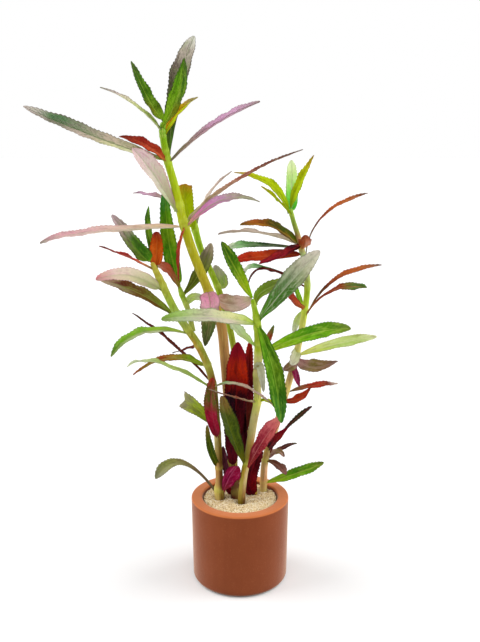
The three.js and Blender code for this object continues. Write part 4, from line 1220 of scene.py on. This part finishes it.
leaf_finishes = {name: leaf_finish(name, **colours) for name, colours in FINISHES.items()}
chance = random.Random(11)
for stem_name, stem_points in STEMS.items():
    joints = [row[0] for row in LEAVES[stem_name]]
    skin = stem_finish(stem_name, STEM_COLOURS[stem_name])
    stem = piece_from(f"{stem_name}_round", stem_shape(stem_points, joints), [skin])
    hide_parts(stem_name)
    young_shape = bmesh.new()
    young_finishes = []
    leaf_number = 0
    for row in LEAVES[stem_name]:
        finish = leaf_finishes[row[6]]
        if YOUNG in row:
            if finish not in young_finishes:
                young_finishes.append(finish)
            add_blade(young_shape, stem_points, row, chance, young_finishes.index(finish))
            continue
        leaf_number += 1
        node = f"{stem_name}_leaf_{leaf_number}"
        shape = bmesh.new()
        add_blade(shape, stem_points, row, chance)
        leaf = piece_from(f"{node}_blade", shape, [finish])
        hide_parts(node)
    young_leaves = piece_from(f"{stem_name}_young_leaves", young_shape, young_finishes)
    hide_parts(stem_name)

# Fine cream gravel fills the pot almost to the rim: a packed bed, with loose grains about a
# millimetre across lying over it. It dips where the stems go down into it, and painted shade darkens it there
# and along the wall.
gravel_low, gravel_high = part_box("gravel")
BED_RADIUS = gravel_high[0]
BED_TOP = gravel_high[2]
BED_FLOOR = gravel_low[2]
BED_STEPS = 72
BED_EDGE_DROP = 0.5 * MM
BED_TONE = 0.14
BED_PAINTED_SHADE = 0.6
GRAIN_SPACING = 0.64 * MM
GRAIN_SCATTER = 0.3
GRAIN_ROW_SPACING = 0.9
GRAIN_RADIUS = 0.42 * MM
GRAIN_SIZES = (0.6, 1.1)
GRAIN_WIDTHS = (0.65, 1.0)
GRAIN_LEAN = 0.6
GRAIN_LIFTS = (-0.15, 0.3)
GRAIN_DENTS = (-0.2, 0.15)
GRAIN_FLATNESS = 0.75
GRAIN_PAINTED_SHADE = 0.5
GRAIN_SPECK = 0.3 * MM
GRAIN_RELIEF = 0.06 * MM
DIP_REACH = 2.2 * MM
DIP_DEPTH = 0.9 * MM
WALL_SHADE = 0.5 * MM


def gravel_finish(name, light, dark):
    """Small stones, each of its own tone, and darker with painted shade along the wall and round the stems.
    """
    stone = Finish(name)
    stops = [(0.0, paint(170, 136, 92)), (0.1, dark), (0.45, light), (1.0, paint(250, 242, 222))]
    body = stone.ramp(stone.mark("tone"), stops)
    # Painted shade: bed and grains are darkened along the wall and round the stems' feet
    body = stone.mix(stone.mark("damp") * 0.7, body, paint(84, 60, 36))
    speck = stone.grain(GRAIN_SPECK, 2.0)
    body = stone.mix(speck.step(0.62, 0.8) * 0.4, body, paint(170, 140, 104))
    return stone.show(stone.surface(
        Base_Color=body,
        Roughness=0.75 + 0.15 * speck,
        Normal=stone.bump(speck, GRAIN_RELIEF, 0.6),
    ))


feet = []
for points in STEMS.values():
    if points[0][2] == BURIED_FOOT:
        centre, radius = stem_place(points, share_at_height(points, BED_TOP / MM))
        feet.append((centre.x * MM, centre.y * MM, radius * MM))


def room_beside_stems(x, y):
    """How far a spot on the gravel is from the skin of the nearest stem."""
    return min(math.hypot(x - foot_x, y - foot_y) - radius for foot_x, foot_y, radius in feet)


def closeness_to_stems(room):
    """1 where a stem goes down into the gravel, and 0 where the gravel no longer dips."""
    return max(0.0, 1 - room / DIP_REACH)


bed_profile = [
    (0, BED_FLOOR),
    (BED_RADIUS, BED_FLOOR),
    (BED_RADIUS, BED_TOP - BED_EDGE_DROP),
    *[(BED_RADIUS * share, BED_TOP) for share in (0.95, 0.85, 0.7, 0.55, 0.4, 0.25, 0.1)],
    (0, BED_TOP),
]
bed_shape = turned(bed_profile, BED_STEPS)
tone_layer = bed_shape.verts.layers.float.new("tone")
painted_shade_layer = bed_shape.verts.layers.float.new("damp")
for corner in bed_shape.verts:
    closeness = closeness_to_stems(room_beside_stems(corner.co.x, corner.co.y))
    at_wall = corner.co.xy.length > BED_RADIUS - WALL_SHADE
    corner[tone_layer] = BED_TONE
    # Painted shade along the wall and round the stems' feet
    corner[painted_shade_layer] = 1.0 if at_wall else closeness * BED_PAINTED_SHADE
    if corner.co.z > BED_TOP / 2:
        corner.co.z -= DIP_DEPTH * closeness
gravel_stone = gravel_finish("cream gravel", paint(238, 220, 176), paint(208, 182, 132))
bed = piece_from("gravel_bed", bed_shape, [gravel_stone])
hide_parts("gravel")

grain_shape = bmesh.new()
tone_layer = grain_shape.verts.layers.float.new("tone")
painted_shade_layer = grain_shape.verts.layers.float.new("damp")
rows = int(BED_RADIUS / GRAIN_SPACING) + 1
for i in range(-rows, rows + 1):
    for j in range(-rows, rows + 1):
        x = (i + 0.5 * (j % 2) + chance.uniform(-GRAIN_SCATTER, GRAIN_SCATTER)) * GRAIN_SPACING
        y = (j + chance.uniform(-GRAIN_SCATTER, GRAIN_SCATTER)) * GRAIN_SPACING * GRAIN_ROW_SPACING
        size = GRAIN_RADIUS * chance.uniform(*GRAIN_SIZES)
        tone = chance.random()
        turn = chance.uniform(0, math.tau)
        lean = chance.uniform(-GRAIN_LEAN, GRAIN_LEAN)
        stretch = chance.uniform(*GRAIN_WIDTHS)
        height = chance.uniform(*GRAIN_LIFTS) * MM
        room = room_beside_stems(x, y)
        if math.hypot(x, y) > BED_RADIUS - WALL_SHADE / 2 - size or room < size * 0.5:
            continue
        closeness = closeness_to_stems(room)
        spot = Vector((x, y, BED_TOP + height - DIP_DEPTH * closeness))
        matrix = Matrix.Translation(spot) @ Matrix.Rotation(turn, 4, "Z")
        matrix = matrix @ Matrix.Rotation(lean, 4, "X")
        matrix = matrix @ Matrix.Diagonal((size, size * stretch, size * GRAIN_FLATNESS, 1))
        grain = bmesh.ops.create_icosphere(grain_shape, subdivisions=1, radius=1, matrix=matrix)
        for corner in grain["verts"]:
            corner.co += (corner.co - spot) * chance.uniform(*GRAIN_DENTS)
            corner[tone_layer] = tone
            # Painted shade on grains close to the stems
            corner[painted_shade_layer] = closeness * GRAIN_PAINTED_SHADE
grains = piece_from("gravel_grains", grain_shape, [gravel_stone], smooth=False)

# A plain white floor, soft light from above, from both sides and from the front, and the camera
# at the height and distance from which the plant was seen.
FLOOR_HALF_WIDTH = 30
ROOM_LIGHT = 0.26
CAMERA_PLACE = (0, -0.358, 0.216)
CAMERA_PITCH = 12.6
CAMERA_LENS = 42
SENSOR_WIDTH = 36


def soft_lamp(name, comes_from, strength, spread_angle):
    """A broad light that comes from one direction, spread over an angle in degrees."""
    light = bpy.data.lights.new(name, "SUN")
    light.energy = strength
    light.angle = math.radians(spread_angle)
    holder = bpy.data.objects.new(name, light)
    holder.rotation_euler = Vector(comes_from).to_track_quat("Z", "Y").to_euler()
    bpy.context.scene.collection.objects.link(holder)


floor_shape = bmesh.new()
bmesh.ops.create_grid(floor_shape, x_segments=1, y_segments=1, size=FLOOR_HALF_WIDTH)
floor_paint = Finish("white floor")
floor_material = floor_paint.show(floor_paint.surface(Base_Color=(0.9, 0.9, 0.9, 1), Roughness=0.9))
floor_mesh = bpy.data.meshes.new("floor")
floor_shape.to_mesh(floor_mesh)
floor_shape.free()
floor_mesh.materials.append(floor_material)
floor = bpy.data.objects.new("floor", floor_mesh)
bpy.context.scene.collection.objects.link(floor)

room_world = bpy.data.worlds.new("white room")
room_world.use_nodes = True
tree = room_world.node_tree
seen = tree.nodes["Background"]
lit = tree.nodes.new("ShaderNodeBackground")
for background, strength in ((seen, 1.0), (lit, ROOM_LIGHT)):
    background.inputs["Strength"].default_value = strength
    background.inputs["Color"].default_value = (1, 1, 1, 1)
path = tree.nodes.new("ShaderNodeLightPath")
both = tree.nodes.new("ShaderNodeMixShader")
tree.links.new(path.outputs["Is Camera Ray"], both.inputs[0])
tree.links.new(lit.outputs[0], both.inputs[1])
tree.links.new(seen.outputs[0], both.inputs[2])
tree.links.new(both.outputs[0], tree.nodes["World Output"].inputs["Surface"])
bpy.context.scene.world = room_world
soft_lamp("left_light", (-0.9, 0.1, 0.55), 2.3, 60)
soft_lamp("right_light", (0.9, 0.1, 0.55), 2.3, 60)
soft_lamp("top_light", (0, -0.15, 1), 0.8, 90)
soft_lamp("front_light", (0.2, -0.8, 0.6), 0.6, 80)

camera = bpy.data.cameras.new("camera")
camera.lens = CAMERA_LENS
camera.sensor_width = SENSOR_WIDTH
camera_holder = bpy.data.objects.new("camera", camera)
camera_holder.location = CAMERA_PLACE
camera_holder.rotation_euler = (math.radians(90 - CAMERA_PITCH), 0, 0)
bpy.context.scene.collection.objects.link(camera_holder)
bpy.context.scene.camera = camera_holder
bpy.context.scene.view_settings.view_transform = "Standard"
